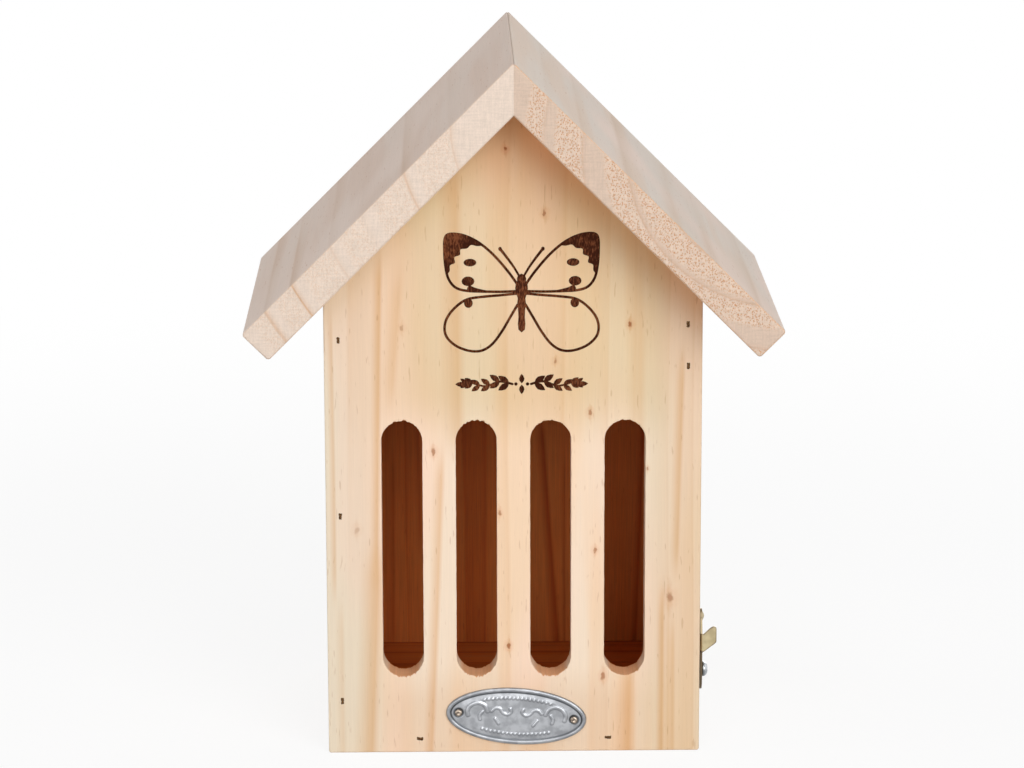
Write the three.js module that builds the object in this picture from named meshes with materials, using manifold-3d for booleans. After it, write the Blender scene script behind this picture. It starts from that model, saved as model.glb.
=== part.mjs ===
// Butterfly house: a small gabled pine box with four entrance slots, a swinging side and a turn latch.
// Millimetres. +Z is up, the front faces -Y, and the origin is under the middle of the body.

import * as THREE from 'three';
import { mergeVertices } from 'three/addons/utils/BufferGeometryUtils.js';
import Module from 'manifold-3d';

const wasm = await Module();
wasm.setup();

// Body
const bodyWidth = 130;
const bodyDepth = 110;
const bodyBoard = 10;
const boardEase = 0.8;

// Roof
const ridgeHeight = 247;
const roofPitch = Math.PI / 4;
const roofBoard = 12.7;
const roofSlopeLength = 130;
const frontOverhang = 22;
const roofEase = 1.2;
const mitreEase = 0.2;
const mitreGap = 0.2;
const seatGap = 0.25;

// Entrance slots
const slotCount = 4;
const slotWidth = 14.2;
const slotPitch = 25.7;
const slotBottom = 27.9;
const slotTop = 119.6;

// Side door, hung on two brads below the fixed lintel
const lintelFace = 16.6;
const doorTopGap = 2.4;
const doorPivotDrop = 6;
const doorEndGap = 0.5;
const doorInnerGap = 0.4;
const doorGroundGap = 1;
const pivotHoleRadius = 1.2;
const pivotHoleSlack = 0.8;

// Brads: flat T-heads set just below the wood
const bradLength = 25;
const bradHeadWidth = 2.2;
const bradHeadHeight = 1.1;
const bradWidth = 1.25;
const bradThickness = 1;
const bradTip = 1.6;
const bradTipWidth = 0.3;
const bradSet = 0.5;
const bradFit = 0.1;
const wallBradLow = 19;
const wallBradTopDrop = 15.4;
const wallBradMiddleRise = 2.3;
const floorBradSpread = 66;
const lintelBradDrop = 10.4;

// Keyhole in the back panel
const keyholeDrop = 43;
const keyholeHeadRadius = 4.5;
const keyholeSlotRadius = 2.6;
const keyholeRise = 9.5;

// Oval tag and its pins
const tagLength = 49.2;
const tagHeight = 20.6;
const tagSheet = 0.5;
const tagRimWidth = 1.1;
const tagRimHeight = 1.1;
const tagCentreX = 0.8;
const tagCentreZ = 13.1;
const tagTilt = 0.073;
const pinSpread = 40.6;
const pinShankRadius = 0.6;
const pinHeadRadius = 1.35;
const pinHeadHeight = 0.7;
const pinLength = 8;
const pinTip = 1.2;
const pinFit = 0.2;

// Turn latch, cut and bent from strip
const latchSheet = 0.7;
const latchGap = 0.25;
const latchPivotHeight = 28.4;
const latchTail = 7.2;
const latchReach = 22;
const latchWidth = 9;
const latchTipWidth = 5.6;
const latchShoulder = 14;
const tabRootLow = 7.5;
const tabRootHigh = 13.9;
const tabRise = 3.4;
const tabReach = 4.9;
const tabEase = 0.9;
const tabBend = 0.5;
const tabRelieving = 0.4;
const dimpleRadius = 2.2;
const dimpleHeight = 0.8;
const dimpleInset = 2.6;

// Latch screw
const screwRadius = 1.25;
const screwHeadRadius = 2.65;
const screwHeadHeight = 1.9;
const screwLength = 14;
const screwTip = 2.5;
const screwFit = 0.15;
const latchHoleFit = 0.3;
const recessWidth = 0.8;
const recessLength = 3;
const recessDepth = 1;

// One overrun for every cut that passes through a face
const overrun = 2;

// Facet counts
const cornerSteps = 3;
const slotSteps = 8;
const ovalSteps = 24;
const roundSteps = 20;
const smallRoundSteps = 14;
const domeSteps = 5;

// Places worked out from the sizes above
const halfWidth = bodyWidth / 2;
const halfDepth = bodyDepth / 2;
const innerHalfWidth = halfWidth - bodyBoard;
const innerHalfDepth = halfDepth - bodyBoard;
const roofThicknessUpright = roofBoard / Math.cos(roofPitch);
const undersideRidge = ridgeHeight - roofThicknessUpright;
const seatDrop = seatGap / Math.cos(roofPitch);
const eaveHeight = undersideAt(halfWidth);
const lintelBottom = eaveHeight - lintelFace;
const doorTop = lintelBottom - doorTopGap;
const doorPivotHeight = doorTop - doorPivotDrop;
const doorInner = innerHalfWidth + doorInnerGap;
const doorPivotX = (doorInner + halfWidth) / 2;
const latchPivotY = -halfDepth + bodyBoard / 2;
const keyholeHeight = undersideRidge - keyholeDrop;

// Height of the seat under the roof boards, at a distance from the middle
function undersideAt(distance) {
  return undersideRidge - distance * Math.tan(roofPitch) - seatDrop;
}

// A closed solid made from a geometry: equal corners merged, empty triangles left out
function solidOf(geometry) {
  const bare = geometry.clone();
  bare.deleteAttribute('normal');
  bare.deleteAttribute('uv');
  const merged = mergeVertices(bare);
  const corners = merged.index.array;
  const kept = [];
  for (let i = 0; i < corners.length; i += 3) {
    const [a, b, c] = [corners[i], corners[i + 1], corners[i + 2]];
    if (a !== b && b !== c && c !== a) {
      kept.push(a, b, c);
    }
  }
  return new wasm.Manifold(new wasm.Mesh({
    numProp: 3,
    vertProperties: merged.attributes.position.array,
    triVerts: new Uint32Array(kept),
  }));
}

function geometryOf(solid) {
  const mesh = solid.getMesh();
  const geometry = new THREE.BufferGeometry();
  geometry.setAttribute('position', new THREE.BufferAttribute(mesh.vertProperties, mesh.numProp));
  geometry.setIndex(new THREE.BufferAttribute(mesh.triVerts, 1));
  return geometry;
}

function addPiece(parent, name, solid, material) {
  const mesh = new THREE.Mesh(geometryOf(solid), material);
  mesh.name = name;
  parent.add(mesh);
  return mesh;
}

// An outline through the given corners, each one rounded by an arc: one radius for all or one for each
function easedShape(corners, radii) {
  const outline = [];
  corners.forEach((corner, i) => {
    const radius = Array.isArray(radii) ? radii[i] : radii;
    const back = corners[(i + corners.length - 1) % corners.length].clone().sub(corner).normalize();
    const ahead = corners[(i + 1) % corners.length].clone().sub(corner).normalize();
    const halfAngle = Math.acos(back.dot(ahead)) / 2;
    const middle = back.clone().add(ahead).normalize();
    const centre = middle.clone().multiplyScalar(radius / Math.sin(halfAngle)).add(corner);
    const start = back.clone().multiplyScalar(radius / Math.tan(halfAngle)).add(corner).sub(centre);
    const turn = Math.sign(back.cross(ahead)) * (2 * halfAngle - Math.PI);
    for (let step = 0; step <= cornerSteps; step += 1) {
      const swung = start.clone().rotateAround(new THREE.Vector2(), turn * (step / cornerSteps));
      outline.push(swung.add(centre));
    }
  });
  return new THREE.Shape(outline);
}

function points(pairs) {
  return pairs.map(([x, y]) => new THREE.Vector2(x, y));
}

// A board whose outline stands in the XZ plane, running from one Y to another, with softened ends
function boardAlongY(shape, fromY, toY, ease, steps) {
  const geometry = new THREE.ExtrudeGeometry(shape, {
    depth: toY - fromY - 2 * ease,
    curveSegments: steps,
    bevelEnabled: ease > 0,
    bevelThickness: ease,
    bevelSize: ease,
    bevelOffset: -ease,
    bevelSegments: 2,
  });
  geometry.rotateX(Math.PI / 2);
  geometry.translate(0, toY - ease, 0);
  return geometry;
}

// A plain prism along Y, for cuts and for pins
function prismAlongY(shape, fromY, toY, steps) {
  const geometry = new THREE.ExtrudeGeometry(shape, {
    depth: toY - fromY,
    curveSegments: steps,
    bevelEnabled: false,
  });
  geometry.rotateX(Math.PI / 2);
  geometry.translate(0, toY, 0);
  return geometry;
}

// A turned solid whose axis is the Y axis, from [radius, height] pairs that start and end on it
function turned(pairs, steps) {
  return new THREE.LatheGeometry(points(pairs), steps);
}

// Points of a round head of the given radius and height, from its edge up to its crown
function crownPoints(radius, height, base) {
  const list = [];
  for (let i = 0; i <= domeSteps; i += 1) {
    const angle = (i / domeSteps) * (Math.PI / 2);
    list.push([radius * Math.cos(angle), base + height * Math.sin(angle)]);
  }
  list[domeSteps][0] = 0;
  return list;
}

// Wood and metal
function pine(colour, roughness) {
  return new THREE.MeshStandardMaterial({ color: colour, roughness, metalness: 0 });
}

function steel(colour, roughness) {
  return new THREE.MeshStandardMaterial({ color: colour, roughness, metalness: 1 });
}

// The gabled outline shared by the front and the back
function gableShape() {
  return easedShape(points([
    [-halfWidth, 0],
    [halfWidth, 0],
    [halfWidth, undersideAt(halfWidth)],
    [0, undersideAt(0)],
    [-halfWidth, undersideAt(halfWidth)],
  ]), boardEase);
}

function slotPath(centreX) {
  const radius = slotWidth / 2;
  const path = new THREE.Path();
  path.absarc(centreX, slotTop - radius, radius, 0, Math.PI, false);
  path.absarc(centreX, slotBottom + radius, radius, Math.PI, 2 * Math.PI, false);
  path.closePath();
  return path;
}

function slotCentres() {
  const first = -((slotCount - 1) * slotPitch) / 2;
  return Array.from({ length: slotCount }, (_, i) => first + i * slotPitch);
}

function frontPanel() {
  const shape = gableShape();
  slotCentres().forEach((x) => shape.holes.push(slotPath(x)));
  return solidOf(boardAlongY(shape, -halfDepth, -innerHalfDepth, boardEase / 2, slotSteps));
}

// A round hole with a narrower slot above it, for a screw head in the wall
function keyhole() {
  const neck = Math.asin(keyholeSlotRadius / keyholeHeadRadius);
  const shape = new THREE.Shape();
  shape.absarc(0, keyholeHeight, keyholeHeadRadius, Math.PI / 2 + neck, 5 * Math.PI / 2 - neck, false);
  shape.absarc(0, keyholeHeight + keyholeRise, keyholeSlotRadius, 0, Math.PI, false);
  shape.closePath();
  return solidOf(prismAlongY(shape, innerHalfDepth - overrun, halfDepth + overrun, smallRoundSteps));
}

function backPanel() {
  const board = solidOf(boardAlongY(gableShape(), innerHalfDepth, halfDepth, boardEase / 2, cornerSteps));
  return board.subtract(keyhole());
}

// A side board between the gables, bevelled at the top where the roof meets it
function sideBoard(side, bottom) {
  const outer = side * halfWidth;
  const inner = side * innerHalfWidth;
  const shape = easedShape(points([
    [outer, bottom],
    [inner, bottom],
    [inner, undersideAt(innerHalfWidth)],
    [outer, undersideAt(halfWidth)],
  ]), boardEase);
  return solidOf(boardAlongY(shape, -innerHalfDepth, innerHalfDepth, boardEase / 2, cornerSteps));
}

function floorBoard() {
  const shape = easedShape(points([
    [-innerHalfWidth, 0],
    [innerHalfWidth, 0],
    [innerHalfWidth, bodyBoard],
    [-innerHalfWidth, bodyBoard],
  ]), boardEase);
  return solidOf(boardAlongY(shape, -innerHalfDepth, innerHalfDepth, boardEase / 2, cornerSteps));
}

// The swinging side, drilled at both ends for the brads that it turns on
function doorBoard() {
  const shape = easedShape(points([
    [doorInner, doorGroundGap],
    [halfWidth, doorGroundGap],
    [halfWidth, doorTop],
    [doorInner, doorTop],
  ]), boardEase);
  const end = innerHalfDepth - doorEndGap;
  const board = solidOf(boardAlongY(shape, -end, end, boardEase / 2, cornerSteps));
  const depth = bradLength + bradSet + pivotHoleSlack;
  const circle = new THREE.Shape();
  circle.absarc(doorPivotX, doorPivotHeight, pivotHoleRadius, 0, 2 * Math.PI, false);
  const front = solidOf(prismAlongY(circle, -halfDepth, -halfDepth + depth, smallRoundSteps));
  const rear = solidOf(prismAlongY(circle, halfDepth - depth, halfDepth, smallRoundSteps));
  return board.subtract(front).subtract(rear);
}

// One roof board: side is -1 for the left and 1 for the right
function roofBoardSolid(side) {
  const run = roofSlopeLength * Math.cos(roofPitch);
  const drop = roofSlopeLength * Math.sin(roofPitch);
  const mitre = mitreGap / 2;
  const mitreDrop = mitre * Math.tan(roofPitch);
  const shape = easedShape(points([
    [side * mitre, ridgeHeight - mitreDrop],
    [side * run, ridgeHeight - drop],
    [side * (run - roofBoard * Math.sin(roofPitch)), ridgeHeight - drop - roofBoard * Math.cos(roofPitch)],
    [side * mitre, undersideRidge - mitreDrop],
  ]), [mitreEase, roofEase, roofEase, mitreEase]);
  return solidOf(boardAlongY(shape, -halfDepth - frontOverhang, halfDepth, mitreEase / 2, cornerSteps));
}

// A brad in a T-shaped outline, head up at the origin and point down; grow makes the pocket it fills
function bradGeometry(grow, rise) {
  const head = bradHeadWidth / 2 + grow;
  const shank = bradWidth / 2 + grow;
  const tip = bradTipWidth / 2 + grow;
  const thickness = bradThickness + 2 * grow;
  const neck = -bradHeadHeight - grow;
  const shape = new THREE.Shape(points([
    [-head, rise],
    [-head, neck],
    [-shank, neck],
    [-shank, bradTip - bradLength],
    [-tip, -bradLength - grow],
    [tip, -bradLength - grow],
    [shank, bradTip - bradLength],
    [shank, neck],
    [head, neck],
    [head, rise],
  ]));
  const geometry = new THREE.ExtrudeGeometry(shape, { depth: thickness, bevelEnabled: false });
  geometry.translate(0, 0, -thickness / 2);
  return geometry;
}

// Sets a brad into the front (face -1) or back (face 1); an upright one has its head standing
function placeBrad(geometry, brad, face) {
  if (face < 0) {
    geometry.rotateZ(Math.PI);
  }
  if (brad.upright) {
    geometry.rotateY(Math.PI / 2);
  }
  geometry.translate(brad.x, face * (halfDepth - bradSet), brad.z);
  return solidOf(geometry);
}

const wallBradX = halfWidth - bodyBoard / 2;
const wallBradTop = eaveHeight - wallBradTopDrop;
const wallBradMiddle = (wallBradLow + wallBradTop) / 2 + wallBradMiddleRise;
const brads = [
  { name: 'left_low', board: 'left_wall', x: -wallBradX, z: wallBradLow, upright: true },
  { name: 'left_middle', board: 'left_wall', x: -wallBradX, z: wallBradMiddle, upright: true },
  { name: 'left_top', board: 'left_wall', x: -wallBradX, z: wallBradTop, upright: true },
  { name: 'floor_left', board: 'floor_board', x: -floorBradSpread / 2, z: bodyBoard / 2, upright: false },
  { name: 'floor_right', board: 'floor_board', x: floorBradSpread / 2, z: bodyBoard / 2, upright: false },
  { name: 'lintel', board: 'lintel', x: wallBradX, z: eaveHeight - lintelBradDrop, upright: true },
  { name: 'door_pivot', board: null, x: doorPivotX, z: doorPivotHeight, upright: true },
];

// The oval tag lies on the front, a little askew, in a frame of its own
const tagFrame = new THREE.Group();
tagFrame.position.set(tagCentreX, -halfDepth, tagCentreZ);
tagFrame.rotation.y = tagTilt;
tagFrame.updateMatrixWorld();

function ovalShape(inset) {
  const shape = new THREE.Shape();
  shape.absellipse(0, 0, tagLength / 2 - inset, tagHeight / 2 - inset, 0, 2 * Math.PI, false, 0);
  return shape;
}

function pinHole(fit) {
  const circle = new THREE.Shape();
  circle.absarc(0, 0, pinShankRadius + fit, 0, 2 * Math.PI, false);
  return prismAlongY(circle, -tagRimHeight - overrun, pinLength + overrun, smallRoundSteps);
}

const pinPlaces = { left: -pinSpread / 2, right: pinSpread / 2 };

function tagSolid() {
  const sheet = solidOf(prismAlongY(ovalShape(0), -tagSheet, 0, ovalSteps));
  const ringShape = ovalShape(0);
  ringShape.holes.push(ovalShape(tagRimWidth));
  const ring = solidOf(boardAlongY(ringShape, -tagRimHeight, 0, tagRimWidth / 4, ovalSteps));
  let tag = sheet.add(ring);
  Object.values(pinPlaces).forEach((x) => {
    tag = tag.subtract(solidOf(pinHole(pinFit).translate(x, 0, 0)));
  });
  return tag;
}

// A round-head pin with its point towards +Y, seated on the tag
function pinSolid(x) {
  const geometry = turned([
    [0, -pinLength],
    [pinShankRadius, pinTip - pinLength],
    [pinShankRadius, tagSheet + seatGap],
    ...crownPoints(pinHeadRadius, pinHeadHeight, tagSheet + seatGap),
  ], smallRoundSteps);
  geometry.rotateX(Math.PI);
  geometry.translate(x, 0, 0);
  return solidOf(geometry);
}

// The pin holes as they pierce the front panel
function pinHolesInFront() {
  return Object.values(pinPlaces).map((x) => {
    const geometry = pinHole(pinFit).translate(x, 0, 0);
    geometry.applyMatrix4(tagFrame.matrixWorld);
    return solidOf(geometry);
  });
}

// The latch is drawn about its own pivot: X out of the house, Y to the back, Z up the arm
const latchFrame = new THREE.Group();
latchFrame.position.set(halfWidth, latchPivotY, latchPivotHeight);

// A prism along X of an outline in the YZ plane
function prismAlongX(shape, fromX, toX, steps) {
  const geometry = new THREE.ExtrudeGeometry(shape, {
    depth: toX - fromX,
    curveSegments: steps,
    bevelEnabled: false,
  });
  geometry.rotateX(Math.PI / 2);
  geometry.rotateZ(Math.PI / 2);
  geometry.translate(fromX, 0, 0);
  return geometry;
}

// Flat strip: round tail about the screw, straight sides, then a taper to the rounded tip
function latchPlateShape() {
  const half = latchWidth / 2;
  const tip = latchTipWidth / 2;
  const shape = new THREE.Shape();
  shape.absellipse(0, 0, half, latchTail, Math.PI, 2 * Math.PI, false, 0);
  shape.lineTo(half, latchShoulder);
  shape.lineTo(tip, latchReach - tip);
  shape.absarc(0, latchReach - tip, tip, 0, Math.PI, false);
  shape.lineTo(-half, latchShoulder);
  shape.closePath();
  const hole = new THREE.Path();
  hole.absarc(0, 0, screwRadius + latchHoleFit, 0, 2 * Math.PI, true);
  shape.holes.push(hole);
  return shape;
}

// The thumb tab: the strip's front edge bent outwards, leaning up the arm, its outer corners rounded
function tabSolid() {
  const inner = latchGap;
  const outer = inner + latchSheet;
  const front = -latchWidth / 2;
  const bendX = outer + tabBend;
  const bendY = front + latchSheet + tabBend;
  const endX = outer + tabReach;
  const section = new THREE.Shape();
  section.moveTo(inner, bendY + tabBend);
  section.absarc(bendX, bendY, latchSheet + tabBend, Math.PI, 3 * Math.PI / 2, false);
  section.lineTo(endX, front);
  section.lineTo(endX, front + latchSheet);
  section.absarc(bendX, bendY, tabBend, 3 * Math.PI / 2, Math.PI, true);
  section.lineTo(outer, bendY + tabBend);
  section.closePath();
  const bent = new THREE.ExtrudeGeometry(section, {
    depth: tabRootHigh + tabRise - tabRootLow,
    curveSegments: cornerSteps,
    bevelEnabled: false,
  });
  bent.translate(0, 0, tabRootLow);
  const outline = new THREE.Shape(points([
    [inner - overrun, tabRootLow],
    [bendX, tabRootLow],
    [endX - tabEase, tabRootLow + tabRise * (1 - tabEase / tabReach)],
    [endX, tabRootLow + tabRise + tabEase],
    [endX, tabRootHigh + tabRise - tabEase],
    [endX - tabEase, tabRootHigh + tabRise],
    [bendX, tabRootHigh],
    [inner - overrun, tabRootHigh],
  ]));
  const keep = prismAlongY(outline, front - overrun, bendY + overrun, cornerSteps);
  return solidOf(bent).intersect(solidOf(keep));
}

// The gap cut in the strip so that the tab can bend
function tabRelief() {
  const front = -latchWidth / 2;
  const shape = new THREE.Shape(points([
    [front - overrun, tabRootLow - tabRelieving],
    [front + latchSheet + tabBend, tabRootLow - tabRelieving],
    [front + latchSheet + tabBend, tabRootHigh + tabRelieving],
    [front - overrun, tabRootHigh + tabRelieving],
  ]));
  return solidOf(prismAlongX(shape, 0, latchGap + latchSheet + overrun, cornerSteps));
}

// A dome pressed out of the strip near its tip, hollow behind
function dimple(radius, height, fromX, toX) {
  const geometry = turned([
    [0, fromX],
    [radius, fromX],
    ...crownPoints(radius, height, toX),
  ], smallRoundSteps);
  geometry.rotateZ(-Math.PI / 2);
  geometry.translate(0, 0, latchReach - dimpleInset);
  return solidOf(geometry);
}

function latchSolid() {
  const inner = latchGap;
  const outer = inner + latchSheet;
  const strip = solidOf(prismAlongX(latchPlateShape(), inner, outer, slotSteps));
  const dome = dimple(dimpleRadius, dimpleHeight, inner + latchSheet / 2, outer);
  const hollow = dimple(dimpleRadius - latchSheet, dimpleHeight, inner - overrun, inner);
  return strip.subtract(tabRelief()).add(tabSolid()).add(dome).subtract(hollow);
}

function screwShank(radius, depth, top) {
  return turned([
    [0, -depth],
    [radius, screwTip - depth],
    [radius, top],
    [0, top],
  ], smallRoundSteps).rotateZ(-Math.PI / 2);
}

// Pan-head screw with a cross recess
function latchScrew() {
  const seat = latchGap + latchSheet + latchGap;
  const head = turned([
    [0, seat],
    [screwHeadRadius, seat],
    ...crownPoints(screwHeadRadius, screwHeadHeight, seat),
  ], roundSteps).rotateZ(-Math.PI / 2);
  const top = seat + screwHeadHeight;
  let screw = solidOf(screwShank(screwRadius, screwLength, seat + screwHeadHeight / 2)).add(solidOf(head));
  [[recessLength, recessWidth], [recessWidth, recessLength]].forEach(([wide, tall]) => {
    const slot = new THREE.Shape(points([
      [-wide / 2, -tall / 2],
      [wide / 2, -tall / 2],
      [wide / 2, tall / 2],
      [-wide / 2, tall / 2],
    ]));
    screw = screw.subtract(solidOf(prismAlongX(slot, top - recessDepth, top + overrun, cornerSteps)));
  });
  return screw;
}

function screwHoleInFront() {
  const geometry = screwShank(screwRadius + screwFit, screwLength + screwFit, overrun);
  return solidOf(geometry.translate(halfWidth, latchPivotY, latchPivotHeight));
}

// Boards, each cut by the fasteners that pass through it
const boards = {
  front_panel: frontPanel(),
  back_panel: backPanel(),
  left_wall: sideBoard(-1, 0),
  lintel: sideBoard(1, lintelBottom),
  floor_board: floorBoard(),
  door: doorBoard(),
  roof_left: roofBoardSolid(-1),
  roof_right: roofBoardSolid(1),
};

const house = new THREE.Group();

[[-1, 'front'], [1, 'back']].forEach(([face, label]) => {
  brads.forEach((brad) => {
    const pocket = placeBrad(bradGeometry(bradFit, bradSet + overrun), brad, face);
    boards[`${label}_panel`] = boards[`${label}_panel`].subtract(pocket);
    if (brad.board) {
      boards[brad.board] = boards[brad.board].subtract(pocket);
    }
    const seated = placeBrad(bradGeometry(0, 0), brad, face);
    addPiece(house, `brad_${label}_${brad.name}`, seated, steel(0x6a5a48, 0.5));
  });
});

pinHolesInFront().forEach((hole) => {
  boards.front_panel = boards.front_panel.subtract(hole);
});
boards.front_panel = boards.front_panel.subtract(screwHoleInFront());

const boardColours = {
  front_panel: 0xe8cba8,
  back_panel: 0xe6c9a4,
  left_wall: 0xe4c59d,
  lintel: 0xe6c8a0,
  floor_board: 0xe2c49c,
  door: 0xe7caa5,
  roof_left: 0xdcccc0,
  roof_right: 0xe0d0c2,
};
Object.entries(boards).forEach(([name, solid]) => {
  addPiece(house, name, solid, pine(boardColours[name], 0.75));
});

house.add(tagFrame);
addPiece(tagFrame, 'oval_tag', tagSolid(), steel(0xb4b6b8, 0.35));
Object.entries(pinPlaces).forEach(([side, x]) => {
  addPiece(tagFrame, `tag_pin_${side}`, pinSolid(x), steel(0xa8a9ab, 0.3));
});

house.add(latchFrame);
addPiece(latchFrame, 'turn_latch', latchSolid(), steel(0xc8b896, 0.4));
addPiece(latchFrame, 'latch_screw', latchScrew(), steel(0xa8adb2, 0.3));

export default house;
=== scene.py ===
import math
from functools import partial

import bmesh
import bpy
from mathutils import Matrix, Vector, geometry, noise


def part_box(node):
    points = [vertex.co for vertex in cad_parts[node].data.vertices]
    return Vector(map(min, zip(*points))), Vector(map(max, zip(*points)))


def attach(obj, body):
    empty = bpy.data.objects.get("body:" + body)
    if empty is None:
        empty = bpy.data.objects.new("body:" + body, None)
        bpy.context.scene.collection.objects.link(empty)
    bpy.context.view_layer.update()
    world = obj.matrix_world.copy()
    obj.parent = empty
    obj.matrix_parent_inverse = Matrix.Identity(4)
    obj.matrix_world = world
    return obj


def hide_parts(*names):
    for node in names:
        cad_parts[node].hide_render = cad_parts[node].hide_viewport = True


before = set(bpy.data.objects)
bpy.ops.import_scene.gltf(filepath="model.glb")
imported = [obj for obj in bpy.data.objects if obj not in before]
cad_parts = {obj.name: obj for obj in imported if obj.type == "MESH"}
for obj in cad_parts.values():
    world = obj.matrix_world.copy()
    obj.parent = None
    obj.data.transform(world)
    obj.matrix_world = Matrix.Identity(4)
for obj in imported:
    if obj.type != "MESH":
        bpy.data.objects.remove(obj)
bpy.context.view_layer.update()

MM = 0.001
AXIS_X = Vector((1, 0, 0))
AXIS_Y = Vector((0, 1, 0))
AXIS_Z = Vector((0, 0, 1))

# Sizes of the house in millimetres, as its source gives them
RIDGE_HEIGHT = 247
ROOF_BOARD = 12.7
ROOF_SLOPE = 130
ROOF_PITCH = math.radians(45)
SEAT_GAP = 0.25
SLOT_COUNT = 4
SLOT_WIDTH = 14.2
SLOT_PITCH = 25.7
SLOT_BOTTOM = 27.9
SLOT_TOP = 119.6
TAG_LENGTH = 49.2
TAG_HEIGHT = 20.6
TAG_CENTRE = (0.8, 13.1)
TAG_TILT = 0.073
PIN_SPREAD = 40.6

# Corners of a square of half size 1, anticlockwise
SQUARE = [(-1, -1), (1, -1), (1, 1), (-1, 1)]


def box_mm(node_name):
    """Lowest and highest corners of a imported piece, in millimetres."""
    low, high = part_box(node_name)
    return Vector(low) / MM, Vector(high) / MM


front_low, front_high = box_mm("front_panel")
roof_low, roof_high = box_mm("roof_right")
HALF_WIDTH = front_high.x
FRONT = front_low.y
FRONT_INNER = front_high.y
UNDERSIDE_RIDGE = RIDGE_HEIGHT - ROOF_BOARD / math.cos(ROOF_PITCH)
SEAT_DROP = SEAT_GAP / math.cos(ROOF_PITCH)


def link_object(name, data):
    """A new object of the data, in the scene."""
    made = bpy.data.objects.new(name, data)
    bpy.context.scene.collection.objects.link(made)
    return made


def linear(hex_colour):
    """The linear colour of an sRGB hex value."""
    channels = [int(hex_colour[i:i + 2], 16) / 255 for i in (1, 3, 5)]
    return tuple(c / 12.92 if c <= 0.04045 else ((c + 0.055) / 1.055) ** 2.4 for c in channels) + (1.0,)


def first_output(node):
    """The node's first output that is in use."""
    return next(output for output in node.outputs if output.enabled)


def add_node(tree, kind, inputs=(), stops=None, **settings):
    """Adds a node of a kind, which its operation or blend may follow. Its inputs, by name or in the order
    shown, are values or what they are linked from. The stops of a ramp are places and grey levels."""
    kind, _, operation = kind.partition(" ")
    node = tree.nodes.new("ShaderNode" + kind)
    if kind == "Mix":
        node.data_type = "RGBA"
    if operation:
        setattr(node, "blend_type" if kind == "Mix" else "operation", operation)
    for key, value in settings.items():
        setattr(node, key, value)
    shown = [socket for socket in node.inputs if socket.enabled]
    for key, value in inputs.items() if isinstance(inputs, dict) else enumerate(inputs):
        socket = node.inputs[key] if isinstance(key, str) else shown[key]
        if isinstance(value, bpy.types.Node):
            value = first_output(value)
        if isinstance(value, bpy.types.NodeSocket):
            tree.links.new(value, socket)
        else:
            socket.default_value = value
    if stops:
        ramp = node.color_ramp.elements
        for element, (place, level) in zip((ramp[0], ramp[1]), (stops[0], stops[-1])):
            element.position, element.color = place, (level, level, level, 1)
        for place, level in stops[1:-1]:
            ramp.new(place).color = (level, level, level, 1)
    return node


def new_material(name, **constants):
    """A named material, with constants set on its shader, and what adds nodes to it."""
    material = bpy.data.materials.new(name)
    material.use_nodes = True
    shader = material.node_tree.nodes["Principled BSDF"]
    for key, value in constants.items():
        shader.inputs[key.replace("_", " ")].default_value = value
    return material, partial(add_node, material.node_tree)


def finish(material, relief, strength, depth, **values):
    """Links a relief, of a strength and a depth in millimetres, and other values to the shader."""
    tree = material.node_tree
    values["Normal"] = add_node(tree, "Bump", {"Height": relief, "Strength": strength,
                                               "Distance": depth * MM})
    for key, value in values.items():
        socket = tree.nodes["Principled BSDF"].inputs[key.replace("_", " ")]
        tree.links.new(first_output(value), socket)
    return material


# A change of level that eases in and out
EASED = {"interpolation_type": "SMOOTHSTEP"}

# Growth rings of even width, as places and levels over a year: late wood on a long face, late wood on
# an end, and torn early wood
EVEN_RAMPS = ([(0.0, 0.0), (0.45, 0.0), (0.85, 0.6), (0.94, 1.0), (1.0, 0.0)],
              [(0.0, 0.0), (0.8, 0.05), (0.95, 0.45), (0.975, 1.0), (1.0, 0.0)],
              [(0.0, 1.0), (0.4, 1.0), (0.55, 0.0), (0.95, 0.0), (1.0, 1.0)])

# How far from the pith the listed years reach, and over what lengths the rings wander along three
# axes, in millimetres; then how uneven the years are, and how ragged the early wood's edge is
RING_REACH = 130
RING_DRIFT = (55, 55, 240)
RING_UNEVEN = 0.6
EARLY_RAGGED = 0.02
ENDLESS = math.inf

# The tone across a streak, how many millimetres of its ends fade, and the tone of a rubbed arris from
# a face along the grain, at 0, to a sawn end, at 1
STREAK_RAMP = [(0.0, 0.0), (0.25, 0.4), (0.5, 0.85), (0.65, 1.0), (0.8, 0.4), (0.92, 0.0)]
STREAK_FADE = 18
RUBBED_RAMP = [(0.0, 0.0), (0.15, 0.0), (0.4, 1.0), (0.85, 1.0), (0.97, 0.0), (1.0, 0.0)]

# The parts of a knot, from its halo to its core: width and length in millimetres, depth, tone; then
# how far it frays across and along
KNOT_PARTS = ((0.7, 4.4, 0.4, "#d09a68"), (2.2, 2.8, 0.3, "#dfa37a"), (0.8, 1.25, 0.95, "#9c5c32"))
KNOT_FRAY = (1.6, 2.4)
RESIN = "#b17c4e"
RUBBED = "#dcab80"
TORN_PALE = "#e8d3bf"

# The room's half sizes, just past its inner faces, and the height of its ridge; then the height of its
# floor, and the warm brown multiplied into the wood that faces the room as painted shade
ROOM_HALF_WIDTH = 55.8
ROOM_HALF_DEPTH = 45.6
ROOM_RIDGE = 229.6
ROOM_FLOOR = 1.0
ROOM_PAINTED_SHADE = "#e79755"


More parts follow.
